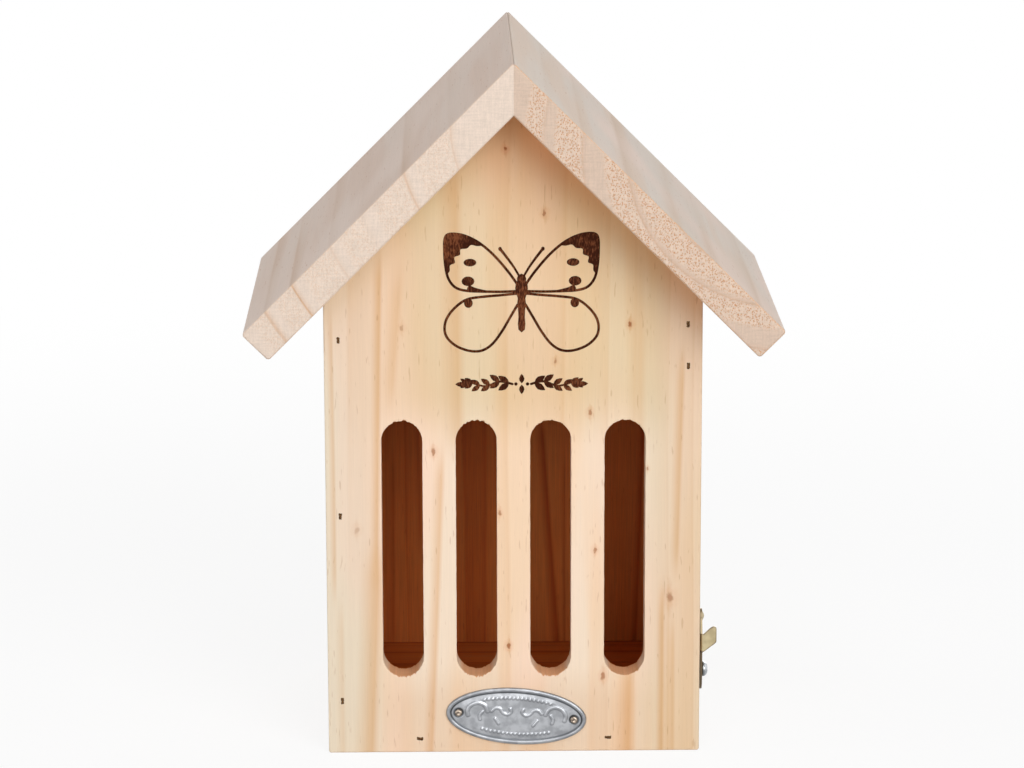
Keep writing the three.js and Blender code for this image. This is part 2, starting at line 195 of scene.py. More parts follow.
def ring_ramps(years):
    """Like EVEN_RAMPS, but over the distance from the pith, for years that each have an end of the last
    late wood, an end of the torn early wood and a strength."""
    long, end, torn = [(0.0, 0.0)], [(0.0, 0.0)], [(0.0, 0.0)]
    for line, early_end, strength in years:
        long += [(line - 5, 0.0), (line - 0.8, 0.7 * strength), (line, strength), (line + 1.2, 0.0)]
        end += [(line - 2.2, 0.0), (line - 0.8, 0.3 * strength), (line - 0.2, strength), (line + 0.2, 0.0)]
        torn += [(line, 0.0), (line + 0.5, 1.0), (early_end - 2.0, 1.0), (early_end, 0.0)]
    return [[(radius / RING_REACH, level) for radius, level in ramp] for ramp in (long, end, torn)]


def grown_rings(add, board, core, years, wander):
    """Growth rings round the core. Gives the board's place as the rings bend it, and the season: how far
    the wood is through its year or, where the years are listed, through RING_REACH."""
    slow = add("VectorMath MULTIPLY", [board, [1 / size for size in RING_DRIFT]])
    drift = add("TexNoise", {"Vector": slow, "Scale": 1, "Detail": 1})
    centred = add("VectorMath SUBTRACT", [drift.outputs["Color"], (0.5, 0.5, 0.5)])
    bent = add("VectorMath MULTIPLY_ADD", [centred, (wander, wander, 0), board])
    spoke = add("VectorMath SUBTRACT", [bent, (core.x, core.y, 0)])
    flat = add("VectorMath MULTIPLY", [spoke, (1, 1, 0)])
    radius = add("VectorMath LENGTH", [flat])
    if isinstance(years, list):
        return bent, add("Math MULTIPLY", [radius, 1 / RING_REACH])
    grown = add("Math MULTIPLY", [radius, 1 / years])
    seasons = add("TexNoise", {"W": grown, "Scale": 0.6}, noise_dimensions="1D")
    return bent, add("Math FRACT", [add("Math MULTIPLY_ADD", [seasons, RING_UNEVEN, grown])])


def wood_patterns(add, world, board, bent):
    """Patches of warmer and of pinker wood, fibres, resin dashes and frayed knots, then a sawn end's
    pores, grit and marks both ways, each with its size in millimetres along its three axes. Fibres,
    pores and marks are drawn coarser than real ones, so that they show."""
    patterns = []
    for kind, base, sizes, settings in (
            ("TexNoise", bent, (15, 15, 170), {"Detail": 2}),
            ("TexNoise", board, (34, 34, 110), {"Detail": 1}),
            ("TexNoise", board, (0.5, 0.5, 22), {"Detail": 3, "Roughness": 0.6}),
            ("TexNoise", board, (0.8, 0.8, 5.5), {"Detail": 1}),
            ("TexNoise", board, (1.8, 1.8, 1.8), {"Detail": 2}),
            ("TexVoronoi", world, (0.55, ENDLESS, 0.7), {"Randomness": 1}),
            ("TexNoise", world, (0.55, ENDLESS, 0.7), {"Scale": 0.9, "Detail": 2, "Roughness": 0.7}),
            ("TexNoise", world, (0.6, ENDLESS, 7), {"Detail": 2}),
            ("TexNoise", world, (7, ENDLESS, 0.6), {"Detail": 2})):
        cells = add("VectorMath MULTIPLY", [base, [1 / size for size in sizes]])
        patterns.append(add(kind, {"Vector": cells, "Scale": 1, **settings}))
    return patterns


def streaked(add, colour, amber, board, bent, shift, streaks):
    """The wood with its named streaks, most of late wood and a few of painted shadow: sharp on one side,
    fading on the other.
    """
    height = add("VectorMath DOT_PRODUCT", [board, AXIS_Z])
    for x_top, z_top, x_low, z_low, half, depth in streaks:
        lean = (x_top - x_low) / (z_top - z_low)
        start = (x_low - lean * (z_low + shift)) / half
        reach = add("VectorMath DOT_PRODUCT", [bent, (1 / half, 0, -lean / half)])
        ridge = add("ValToRGB", [add("MapRange", [reach, start - 1, start + 1, 0, 1])], stops=STREAK_RAMP)
        middle = add("Math SUBTRACT", [height, (z_top + z_low) / 2 + shift])
        far = add("Math ABSOLUTE", [middle])
        half_length = (z_top - z_low) / 2
        ends = add("MapRange", [far, half_length - STREAK_FADE, half_length, depth, 0], **EASED)
        colour = add("Mix", [add("Math MULTIPLY", [ridge, ends]), colour, amber])
    return colour


def knotted(add, colour, board, fray, shift, knots):
    """The wood with its small knots, squeezed and frayed: a rusty core in a halo of pinker wood."""
    across, along = KNOT_FRAY
    frayed = add("VectorMath MULTIPLY_ADD", [fray.outputs["Color"], (across, 0, along), board])
    for x, z, size, depth in knots:
        offset = add("VectorMath SUBTRACT", [frayed, (x + across / 2, 0, z + along / 2 + shift)])
        for width, length, level, tone in KNOT_PARTS:
            squeezed = add("VectorMath MULTIPLY", [offset, (1 / (width * size), 0, 1 / (length * size))])
            reach = add("VectorMath LENGTH", [squeezed])
            share = add("MapRange", [reach, 0.45, 1.15, level * depth, 0], **EASED)
            colour = add("Mix", [share, colour, linear(tone)])
    return colour


def torn_end(add, colour, dot, season, early_stops, marks, dotted):
    """A sawn end, with dots where the early wood tore, pale between them, and marks of the saw. Gives
    how deep it is torn as well."""
    pores, grit, upright, level_marks = marks
    hole = add("MapRange", [pores, 0.2, 0.6, 1, 0], **EASED)
    torn = add("Math MULTIPLY", [hole, add("MapRange", [grit, 0.3, 0.58, 0.1, 1.1])])
    ragged = add("Math MULTIPLY_ADD", [grit, EARLY_RAGGED, season])
    early = add("ValToRGB", [add("Math SUBTRACT", [ragged, EARLY_RAGGED / 2])], stops=early_stops)
    pitted = add("Math MULTIPLY", [torn, early])
    for level, depth, tone in ((early, 0.35 * dotted, linear(TORN_PALE)), (pitted, dotted, dot)):
        share = add("Math MULTIPLY", [level, depth], use_clamp=True)
        colour = add("Mix", [share, colour, tone])
    weave = add("Math ADD", [add("Math ADD", [grit, upright]), level_marks])
    shade = add("MapRange", [weave, 1.15, 1.85, 0.9, 1.08])
    return add("Mix MULTIPLY", [1.0, colour, shade]), pitted


def zoned_tone_and_painted_shade(add, colour, world, tone_and_painted_shade):
    """The wood with its zones of deeper or warmer tone, some of them painted warm shade under the roof.
    Each zone is a tone, and ramps along directions, from one distance to another, that bound it."""
    for tone, ramps in tone_and_painted_shade:
        share = 1.0
        for direction, start, full in ramps:
            distance = add("VectorMath DOT_PRODUCT", [world, direction])
            level = add("MapRange", [distance, start, full, 0, 1], **EASED)
            share = add("Math MULTIPLY", [share, level])
        colour = add("Mix MULTIPLY", [share, colour, linear(tone)])
    return colour


def painted_room_shade(add, colour, world, fibre):
    """The wood darkened to a warm brown, its fibres sharper, where it faces the room, under the roof and
    over the floor's underside: painted shade.
    """
    span = add("VectorMath ABSOLUTE", [world])
    outermost = 0.0
    for limit in ((1 / ROOM_HALF_WIDTH, 0, 0), (0, 1 / ROOM_HALF_DEPTH, 0),
                  (1 / ROOM_RIDGE, 0, 1 / ROOM_RIDGE)):
        outermost = add("Math MAXIMUM", [outermost, add("VectorMath DOT_PRODUCT", [span, limit])])
    above = add("Math GREATER_THAN", [add("VectorMath DOT_PRODUCT", [world, AXIS_Z]), ROOM_FLOOR])
    inside = add("Math MULTIPLY", [add("Math LESS_THAN", [outermost, 1.0]), above])
    room_shaded = colour
    for tone in (linear(ROOM_PAINTED_SHADE), add("MapRange", [fibre, 0.35, 0.6, 0.9, 1.04])):
        room_shaded = add("Mix MULTIPLY", [1.0, room_shaded, tone])
    return add("Mix", [inside, colour, room_shaded])


def pine(name, across, along, pith, years, tones, shift=0.0, wander=3.0, figure=0.5, dotted=0.3,
         roughness=0.62, knots=(), streaks=(), tone_and_painted_shade=()):
    """Planed or sawn pine, cut as a solid: growth rings are shells round the pith, so a long face shows
    soft amber bands and a sawn end shows the arcs of the same rings. Ring by ring the late wood darkens
    slowly and stops short. Along the grain run faint fibres and short brown dashes of resin. A sawn end
    is duller, with the torn pores of the early wood as orange-brown dots.
    The years are the rings' even width in millimetres, or a list for ring_ramps.
    """
    material, add = new_material(name, IOR=1.45, Specular_IOR_Level=0.25)
    cream, warm, pink, amber, end, dot = [linear(tone) for tone in tones]
    place = add("TexCoord")
    world = add("VectorMath MULTIPLY", [place.outputs["Object"], (1 / MM,) * 3])
    turn = Matrix((across, along.cross(across), along))
    board = add("Mapping", {"Vector": world, "Location": (0, 0, shift), "Rotation": turn.to_euler()})
    bent, season = grown_rings(add, board, turn @ Vector(pith), years, wander)
    listed = isinstance(years, list)
    long_stops, end_stops, early_stops = ring_ramps(years) if listed else EVEN_RAMPS
    patch, blush, fibre, resin, fray, *marks = wood_patterns(add, world, board, bent)
    grit = marks[1]

    # 1 on a sawn end, 0 on a face along the grain
    steep = add("Math ABSOLUTE", [add("VectorMath DOT_PRODUCT", [place.outputs["Normal"], along])])
    sawn = add("MapRange", [steep, 0.5, 0.8, 0, 1], **EASED)
    late_long = add("ValToRGB", [season], stops=long_stops)
    late_end = add("ValToRGB", [season], stops=end_stops)
    late = add("Mix", [sawn, late_long, late_end])
    strength = add("MapRange", [patch, 0.3, 0.7, 0.2 * figure, 1.6 * figure])
    band = add("Math MULTIPLY", [late, strength], use_clamp=True)
    colour = add("Mix", [add("MapRange", [patch, 0.42, 0.62, 0, 1], **EASED), cream, warm])
    colour = add("Mix", [add("MapRange", [blush, 0.47, 0.66, 0, 0.8], **EASED), colour, pink])
    colour = add("Mix", [band, colour, amber])
    colour = streaked(add, colour, amber, board, bent, shift, streaks)

    # Fibres as hair lines, and sparse dashes of resin
    colour = add("Mix MULTIPLY", [1.0, colour, add("MapRange", [fibre, 0.3, 0.7, 0.97, 1.02])])
    dash = add("MapRange", [resin, 0.67, 0.78, 0, 0.3], **EASED)
    colour = add("Mix", [dash, colour, linear(RESIN)])
    colour = knotted(add, colour, board, fray, shift, knots)

    # Sawn ends are duller, their arrises rubbed to a warmer tone
    dull = add("Mix", [late_end if listed else band, end, dot])
    dull, pitted = torn_end(add, dull, dot, season, early_stops, marks, dotted)
    colour = add("Mix", [sawn, colour, dull])
    rubbed = add("ValToRGB", [steep], stops=RUBBED_RAMP)
    share = add("Math MULTIPLY", [rubbed, add("MapRange", [grit, 0.4, 0.6, 0.1 * dotted, 0.8 * dotted])])
    colour = add("Mix", [share, colour, linear(RUBBED)])
    # Zones of deeper tone, and painted warm shade under the roof
    colour = zoned_tone_and_painted_shade(add, colour, world, tone_and_painted_shade)
    # Painted shade: a warm brown where the wood faces the room
    colour = painted_room_shade(add, colour, world, fibre)

    relief = add("Math MULTIPLY_ADD", [fibre, 0.5, late_long])
    pits = add("Math MULTIPLY", [pitted, sawn])
    sunk = add("Math MULTIPLY_ADD", [pits, -2.0 * dotted, relief])
    shine = add("MapRange", [fibre, 0.3, 0.7, roughness - 0.08, roughness + 0.08])
    return finish(material, sunk, 0.35, 0.15, Base_Color=colour, Roughness=shine)


def scorched_and_pit_shade_pine():
    """Pine burnt by a laser: dark brown and matt, paler in patches and where a harder fibre crosses. It
    also lines the brads' pits as painted shade.
    """
    material, add = new_material("pine_laser_scorched_and_pit_shade", IOR=1.45, Roughness=0.9, Specular_IOR_Level=0.1)
    place = add("TexCoord").outputs["Object"]
    fine = add("VectorMath MULTIPLY", [place, [1 / (size * MM) for size in (0.5, 0.5, 1.6)]])
    char = add("TexNoise", {"Vector": fine, "Scale": 1, "Detail": 3, "Roughness": 0.6})
    broad = add("TexNoise", {"Vector": place, "Scale": 1 / (10 * MM), "Detail": 1})
    mixed = add("Math MULTIPLY_ADD", [char, 1.6, broad])
    share = add("MapRange", [mixed, 1.18, 1.7, 0, 1], **EASED)
    colour = add("Mix", [share, linear("#3a1a0d"), linear("#7a462b")])
    return finish(material, char, 0.5, 0.15, Base_Color=colour)


def coated_steel(name, dull, dark, light, roughness, grain):
    """Coated steel: cloudy between two tones at the grain's scale in millimetres, its shine uneven with
    scuffs, drawn as coarse as they need to show. Painted shade and cut edges that a mesh marks are dull."""
    material, add = new_material(name, Metallic=1.0)
    place = add("TexCoord").outputs["Object"]
    cloud = add("TexNoise", {"Vector": place, "Scale": 1 / (grain * MM), "Detail": 3})
    share = add("MapRange", [cloud, 0.35, 0.65, 0, 1], **EASED)
    colour = add("Mix", [share, linear(dark), linear(light)])
    marked = add("Attribute", attribute_name="hollow")
    colour = add("Mix", [marked.outputs["Fac"], colour, linear(dull)])
    scuff = add("TexNoise", {"Vector": place, "Scale": 1 / (0.5 * MM), "Detail": 4})
    shine = add("MapRange", [scuff, 0.3, 0.7, roughness - 0.07, roughness + 0.1])
    return finish(material, scuff, 0.15, 0.04, Base_Color=colour, Roughness=shine)


def smooth_by_angle(mesh, degrees=38):
    """Smooth shading, with edges sharper than the angle left crisp."""
    mesh.shade_smooth()
    mesh.set_sharp_from_angle(angle=math.radians(degrees))


def mesh_object(name, build, material):
    """An object whose mesh is what build puts into a bmesh, in millimetres."""
    shape = bmesh.new()
    build(shape)
    bmesh.ops.recalc_face_normals(shape, faces=shape.faces)
    bmesh.ops.scale(shape, vec=(MM, MM, MM), verts=shape.verts)
    mesh = bpy.data.meshes.new(name)
    shape.to_mesh(mesh)
    shape.free()
    mesh.materials.append(material)
    smooth_by_angle(mesh)
    return link_object(name, mesh)


def skin(shape, rings):
    """Joins rings of points into a closed skin, with a flat cap at each end."""
    corners = [[shape.verts.new(point) for point in ring] for ring in rings]
    for first, second in zip(corners, corners[1:]):
        for i in range(len(first)):
            j = (i + 1) % len(first)
            shape.faces.new((first[i], first[j], second[j], second[i]))
    for cap in (corners[0], corners[-1]):
        shape.faces.new(cap)


def carve(piece, cutter):
    """Cuts a solid out of the piece; the cut faces keep the cutter's material."""
    modifier = piece.modifiers.new("cut", "BOOLEAN")
    modifier.operation = "DIFFERENCE"
    modifier.solver = "MANIFOLD"
    modifier.material_mode = "TRANSFER"
    modifier.object = cutter
    graph = bpy.context.evaluated_depsgraph_get()
    cut = bpy.data.meshes.new_from_object(piece.evaluated_get(graph))
    piece.modifiers.clear()
    piece.data = cut
    bpy.data.objects.remove(cutter)
    smooth_by_angle(cut)


def sheet_solid(shape, points, faces, places):
    """A solid between two sheets of the same flat faces, with walls along their free edges. Each of the
    places puts a flat point into the house. Gives the sheets' corners by the number of their point."""
    used = sorted({corner for face in faces for corner in face})
    first, second = [{i: shape.verts.new(place(*points[i])) for i in used} for place in places]
    edges = set()
    for face in faces:
        for sheet in (first, second):
            shape.faces.new([sheet[i] for i in face])
        edges.update(zip(face, face[1:] + face[:1]))
    for a, b in sorted(edges):
        if (b, a) not in edges:
            shape.faces.new((first[a], first[b], second[b], second[a]))
    return first, second


# Where in its cell each cut is made, so that none meets a corner of the carving
CELL_CUT = 0.43


def cut_in_cells(shape, spacing):
    """Divides a board's broad faces into cells, which take a fine carving better than one face does."""
    low, high = [Vector([pick(v.co[i] for v in shape.verts) for i in range(3)]) for pick in (min, max)]
    for axis in (0, 2):
        count = math.ceil((high[axis] - low[axis]) / spacing)
        normal = Vector([float(i == axis) for i in range(3)])
        for i in range(1, count):
            place = low + normal * (high[axis] - low[axis]) * (i - CELL_CUT) / count
            bmesh.ops.bisect_plane(shape, geom=shape.verts[:] + shape.edges[:] + shape.faces[:],
                                   dist=1e-4, plane_co=place, plane_no=normal)


def flatten_shading(piece):
    """Weighs the smooth shading by face area, so that the broad faces stay flat."""
    modifier = piece.modifiers.new("flat_faces", "WEIGHTED_NORMAL")
    modifier.keep_sharp = True


def settle(piece, body, node_name):
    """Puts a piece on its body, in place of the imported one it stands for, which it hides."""
    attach(piece, body)
    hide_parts(node_name)


def arc(centre, radius_x, radius_z, steps, start=0, turn=math.pi):
    """Points along a round or oval arc, from its start to the end of its turn."""
    angles = [start + turn * i / steps for i in range(steps + 1)]
    return [(centre[0] + radius_x * math.cos(a), centre[1] + radius_z * math.sin(a)) for a in angles]


def disc(centre, radius_x, radius_z, sides=14):
    """A round or oval outline."""
    return arc(centre, radius_x, radius_z, sides, turn=2 * math.pi)[:-1]


def eased_outline(corners, radii, steps=6):
    """The outline with each corner that has a radius rounded by a true arc."""
    outline = []
    count = len(corners)
    for i, radius in enumerate(radii):
        corner = Vector(corners[i])
        if not radius:
            outline.append(tuple(corner))
            continue
        back = (Vector(corners[i - 1]) - corner).normalized()
        ahead = (Vector(corners[(i + 1) % count]) - corner).normalized()
        half = math.acos(back.dot(ahead)) / 2
        centre = corner + (back + ahead).normalized() * radius / math.sin(half)
        start = corner + back * radius / math.tan(half) - centre
        sign = math.copysign(1, back.x * ahead.y - back.y * ahead.x)
        for step in range(steps + 1):
            angle = sign * (2 * half - math.pi) * step / steps
            outline.append(tuple(Matrix.Rotation(angle, 2) @ start + centre))
    return outline


def finely(outline, spacing, closed=True):
    """The outline with points added, so that none are further apart than the spacing."""
    points = []
    for first, second in zip(outline, outline[1:] + outline[:closed]):
        first, second = Vector(first), Vector(second)
        count = max(1, math.ceil((second - first).length / spacing))
        points += [tuple(first.lerp(second, i / count)) for i in range(count)]
    return points


def turned_area(outline):
    """Twice the outline's area, above 0 where it runs anticlockwise."""
    return sum(a[0] * b[1] - b[0] * a[1] for a, b in zip(outline, outline[1:] + outline[:1]))


def inset(outline, distance):
    """Moves a closed outline inwards by a distance, corner by corner."""
    turn = math.copysign(1, turned_area(outline))
    moved = []
    for i, point in enumerate(outline):
        before, after = Vector(outline[i - 1]), Vector(outline[(i + 1) % len(outline)])
        one = (Vector(point) - before).normalized()
        two = (after - Vector(point)).normalized()
        normal = Vector((-one.y - two.y, one.x + two.x)) * turn
        normal /= max(normal.length ** 2 / 2, 0.5)
        moved.append(tuple(Vector(point) + normal * distance))
    return moved


# Worn arrises: how far they are rounded, and how the saw and the sander left them uneven
MITRE_REACH = 0.05
ARRIS = 0.7
ARRIS_STEPS = 4
ARRIS_WOBBLE = 0.22
WOBBLE_LENGTH = 3.5


def board_solid(shape, outline, front, back, arris, wobble, mitred=False):
    """A board of one outline from front to back, its end arrises rounded and slightly uneven. A mitred
    board stays whole on the ridge, where it meets the other one."""
    steps = [i / ARRIS_STEPS for i in range(ARRIS_STEPS + 1)]
    ends = [(front + arris * (1 - math.cos(s * math.pi / 2)), arris * (1 - math.sin(s * math.pi / 2)))
            for s in steps]
    ends += [(back - (y - front), shrink) for y, shrink in reversed(ends)]
    middle = Vector((sum(x for x, _ in outline), sum(z for _, z in outline))) / len(outline)
    rings = []
    for y, shrink in ends:
        near_end = min(abs(y - front), abs(back - y)) < arris
        ring = []
        for (whole_x, _), (x, z) in zip(outline, inset(outline, shrink)):
            uneven = noise.noise(Vector((x, y * 0.3, z)) / WOBBLE_LENGTH) * wobble
            pull = max(uneven, 0) if near_end else 0
            inward = (middle - Vector((x, z))).normalized() * pull
            on_mitre = mitred and abs(whole_x) < MITRE_REACH
            ring.append((whole_x if on_mitre else x + inward.x, y, z + inward.y))
        rings.append(ring)
    skin(shape, rings)


def underside_at(distance):
    """Height of the seat under the roof boards, at a distance from the middle."""
    return UNDERSIDE_RIDGE - distance * math.tan(ROOF_PITCH) - SEAT_DROP


def gable_outline():
    """The front board's outline, its corners barely rounded."""
    eave = underside_at(HALF_WIDTH)
    corners = [(-HALF_WIDTH, 0), (HALF_WIDTH, 0), (HALF_WIDTH, eave), (0, underside_at(0)),
               (-HALF_WIDTH, eave)]
    return finely(eased_outline(corners, [0.8, 0.8, 0.5, 0.5, 0.5], steps=4), 4)


# Edges of the slots: how far they flare and tear, and how deep that reaches; then the fit of a brad
SLOT_EASE = 0.2
SLOT_TEAR = 1.1
SLOT_TEAR_DEPTH = 1.3
SLOT_OVERRUN = 1
SLOT_STEPS = 56
BRAD_FIT = 0.02


def slot_outline(centre, grow):
    """A tall slot with round ends, as one closed outline."""
    half = SLOT_WIDTH / 2 + grow
    low, high = SLOT_BOTTOM - grow, SLOT_TOP + grow
    return finely(arc((centre, high - half), half, half, SLOT_STEPS)
                  + arc((centre, low + half), half, half, SLOT_STEPS, math.pi), 2)


def slot_cutter(shape):
    """The slots: their edges flare a little, and their round ends are torn where the grain ends."""
    thickness = FRONT_INNER - FRONT
    depths = [-SLOT_OVERRUN] + [SLOT_EASE * i / 4 for i in range(5)] + [SLOT_TEAR_DEPTH]
    depths += [thickness - depth for depth in reversed(depths)]
    middle = (SLOT_TOP + SLOT_BOTTOM) / 2
    straight = (SLOT_TOP - SLOT_BOTTOM - SLOT_WIDTH) / 2
    for number in range(SLOT_COUNT):
        centre = (number - (SLOT_COUNT - 1) / 2) * SLOT_PITCH
        rings = []
        for depth in depths:
            near = max(min(depth, thickness - depth), 0)
            flare = SLOT_EASE * (1 - math.sqrt(1 - (1 - min(near / SLOT_EASE, 1)) ** 2))
            fade = max(1 - near / SLOT_TEAR_DEPTH, 0)
            ring = []
            for x, z in slot_outline(centre, flare):
                end = min(max((abs(z - middle) - straight) / (SLOT_WIDTH / 2), 0), 1)
                grit = noise.noise(Vector((x * 1.9, number * 6.6, z)))
                lift = (0.08 + end) * max(grit + 0.1, 0) * SLOT_TEAR * fade
                ring.append((x + 0.12 * grit * fade * (1 - end), FRONT + depth,
                             z + lift * math.copysign(1, z - middle)))
            rings.append(ring)
        skin(shape, rings)


def brad_pockets(shape):
    """The little pits that the brads' heads sit in, each a bit ragged."""
    for node_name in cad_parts:
        if not node_name.startswith("brad_front_"):
            continue
        low, high = box_mm(node_name)
        x, z = (low.x + high.x) / 2, (low.z + high.z) / 2
        half_x = (high.x - low.x) / 2 + BRAD_FIT
        half_z = (high.z - low.z) / 2 + BRAD_FIT
        outline = finely([(x + i * half_x, z + j * half_z) for i, j in SQUARE], 0.4)
        rings = []
        for y, spread in ((FRONT - 1, 1.0), (FRONT, 1.0), (low.y + 0.02, 0.3)):
            rings.append([(px + 0.22 * spread * noise.noise(Vector((px, 3, pz)) * 3),
                           y, pz + 0.35 * spread * noise.noise(Vector((px, 7, pz)) * 3))
                          for px, pz in outline])
        skin(shape, rings)


def smooth_path(points, closed=False, steps=6):
    """A smooth curve through the points."""
    points = [Vector(point) for point in points]
    padded = points[-1:] + points + points[:2] if closed else points[:1] + points + points[-1:]
    curve = []
    for p0, p1, p2, p3 in zip(padded, padded[1:], padded[2:], padded[3:]):
        for step in range(steps):
            t = step / steps
            curve.append(0.5 * (2 * p1 + (p2 - p0) * t + (2 * p0 - 5 * p1 + 4 * p2 - p3) * t ** 2
                                + (3 * p1 - p0 - 3 * p2 + p3) * t ** 3))
    if not closed:
        curve.append(points[-1])
    return [tuple(point) for point in curve]


def stroke(path, start_half, end_half):
    """Patches that together draw a line along the path, from one half width to another."""
    points = [Vector(point) for point in path]
    last = len(points) - 1
    edges = []
    for i, point in enumerate(points):
        direction = (points[min(i + 1, last)] - points[max(i - 1, 0)]).normalized()
        half = start_half + (end_half - start_half) * i / last
        normal = Vector((-direction.y, direction.x)) * half
        edges.append((tuple(point + normal), tuple(point - normal)))
    patches = [[a[0], b[0], b[1], a[1]] for a, b in zip(edges, edges[1:])]
    return patches + [disc(points[0], start_half, start_half, 10), disc(points[-1], end_half, end_half, 10)]


# The burnt butterfly, right half, in millimetres from the middle of its body
MOTIF_CENTRE = (2.9, 165.3)
UPPER_WING = [(1.0, 1.6), (4.8, 7.0), (9.8, 12.8), (14.8, 17.0), (19.8, 19.4), (24.4, 19.9), (26.1, 18.4),
              (26.3, 14.0), (26.0, 9.0), (25.0, 4.4), (22.6, 1.3), (18.8, 0.1), (13.0, -0.2), (7.0, -0.3),
              (1.0, -0.1)]
LOWER_WING = [(1.0, -0.9), (7.0, -1.5), (13.0, -2.0), (18.6, -2.9), (22.6, -5.6), (25.5, -9.3),
              (26.4, -13.0), (25.5, -16.3), (22.4, -19.2), (18.0, -20.9), (13.8, -20.9), (10.2, -18.7),
              (6.9, -14.4), (4.0, -9.4), (1.4, -4.9)]
WING_TIP = [(13.6, 16.0), (17.0, 18.1), (20.4, 19.4), (24.4, 19.9), (26.1, 18.4), (26.3, 14.0), (26.1, 9.0),
            (25.7, 6.0), (24.5, 7.0), (24.4, 9.0), (22.7, 9.8), (22.9, 11.8), (21.0, 12.6), (20.8, 14.5),
            (18.6, 14.8), (17.2, 16.0), (15.2, 15.6)]
WING_BAR = [(7.0, -0.5), (12.0, 0.2), (16.0, 1.2), (17.8, 2.0), (18.6, 0.6), (17.0, -0.4), (12.0, -0.7)]
WING_SPOTS = [((17.6, 9.9), 2.2, 1.35), ((18.3, 3.4), 2.2, 1.7), ((18.2, -4.2), 1.5, 1.7)]
FEELER = [(0.5, 4.6), (2.6, 8.2), (5.0, 11.6), (7.3, 14.6)]
BODY = [(0.0, 6.0), (1.2, 5.4), (1.6, 4.3), (1.5, 3.4), (2.0, 2.4), (2.2, 0.8), (1.8, -1.2), (1.3, -2.6),
        (1.5, -4.4), (1.2, -7.0), (1.1, -9.2), (1.3, -11.6), (1.1, -13.6), (0.0, -14.6)]
LINE_HALF = 0.46
BURN_DEPTH = 0.4
BURN_ROUGH = 0.12

# The sprig of leaves below it
SPRIG_CENTRE = (2.9, 132.6)
SPRIG_STEM = [(3.2, 0.0), (7.5, 0.9), (12.5, -0.7), (17.5, 0.5), (19.2, 0.0)]
LEAF_LENGTH = 4.6
LEAF_HALF = 1.15
LEAF_SPREAD = math.radians(34)
LEAF_COUNT = 6


def leaf(root, angle, length, half):
    """A pointed leaf from its root."""
    side = [(0.0, 0.0), (0.25, 0.75), (0.5, 1.0), (0.78, 0.62), (1.0, 0.0)]
    outline = [(along * length, share * half) for along, share in side]
    outline += [(x, -z) for x, z in reversed(outline[1:-1])]
    turn = Matrix.Rotation(angle, 2)
    return [tuple(Vector(root) + turn @ Vector(point)) for point in outline]


def burnt_patches():
    """All the patches of the butterfly and the sprig, each half mirrored about its middle."""
    wings = []
    for wing in (UPPER_WING, LOWER_WING):
        wings += stroke(smooth_path(wing), LINE_HALF, LINE_HALF)
    wings += [smooth_path(outline, closed=True, steps=3) for outline in (WING_TIP, WING_BAR)]
    wings += [disc(*spot) for spot in WING_SPOTS]
    wings += stroke(smooth_path(FEELER), 0.36, 0.5) + [disc(FEELER[-1], 0.62, 0.75)]
    body = BODY + [(-x, z) for x, z in reversed(BODY[1:-1])]

    stem = smooth_path(SPRIG_STEM)
    leaves = stroke(stem, 0.42, 0.3)
    for number in range(LEAF_COUNT):
        root = stem[round((number + 0.6) / (LEAF_COUNT + 0.4) * (len(stem) - 1))]
        size = 1 - 0.07 * number
        for side in (-1, 1):
            leaves.append(leaf(root, side * LEAF_SPREAD, LEAF_LENGTH * size, LEAF_HALF * size))
    leaves += [leaf(stem[-1], 0, LEAF_LENGTH * 0.8, LEAF_HALF * 0.8), disc((2.0, 0.0), 0.6, 0.6)]
    buds = [leaf((0, side * 0.2), side * math.pi / 2, 3.4, 0.95) for side in (1, -1)]

    patches = []
    for half, middle, (centre_x, centre_z) in ((wings, [body], MOTIF_CENTRE), (leaves, buds, SPRIG_CENTRE)):
        whole = half + [[(-x, z) for x, z in patch] for patch in half] + middle
        patches += [[(x + centre_x, z + centre_z) for x, z in patch] for patch in whole]
    return patches


def burn_cutter(shape):
    """One solid under all the burnt patches, its floor slightly rough."""
    flat, patches = [], []
    for patch in burnt_patches():
        ordered = patch if turned_area(patch) > 0 else list(reversed(patch))
        patches.append(list(range(len(flat), len(flat) + len(ordered))))
        flat += [Vector(point) for point in ordered]
    points, _, faces, _, _, owners = geometry.delaunay_2d_cdt(flat, [], patches, 1, 1e-4)
    faces = [face for face, owner in zip(faces, owners) if owner]
    sheet_solid(shape, points, faces, (
        lambda x, z: (x, FRONT - 1, z),
        lambda x, z: (x, FRONT + BURN_DEPTH + BURN_ROUGH * noise.noise(Vector((x, 0, z)) * 1.4), z)))


# Small knots of the front board: across, up, size in millimetres, and depth of colour
FRONT_KNOTS = [
    (-27.7, 108.7, 1.0, 0.7), (-4.9, 86.7, 0.8, 0.7), (-1.7, 39.0, 0.9, 0.9), (26.4, 122.3, 0.9, 0.7),
    (28.3, 73.2, 0.8, 0.7), (46.2, 102.1, 0.5, 0.6), (31.2, 27.5, 1.1, 0.7), (-2.6, 214.3, 0.8, 0.9),
    (10.9, 192.2, 1.0, 0.7), (40.1, 153.6, 0.9, 0.9), (-38.0, 152.5, 1.0, 0.4), (14.4, 140.6, 0.8, 0.6),
    (54.3, 56.0, 1.7, 0.6), (-54.3, 81.0, 1.2, 0.3),
]
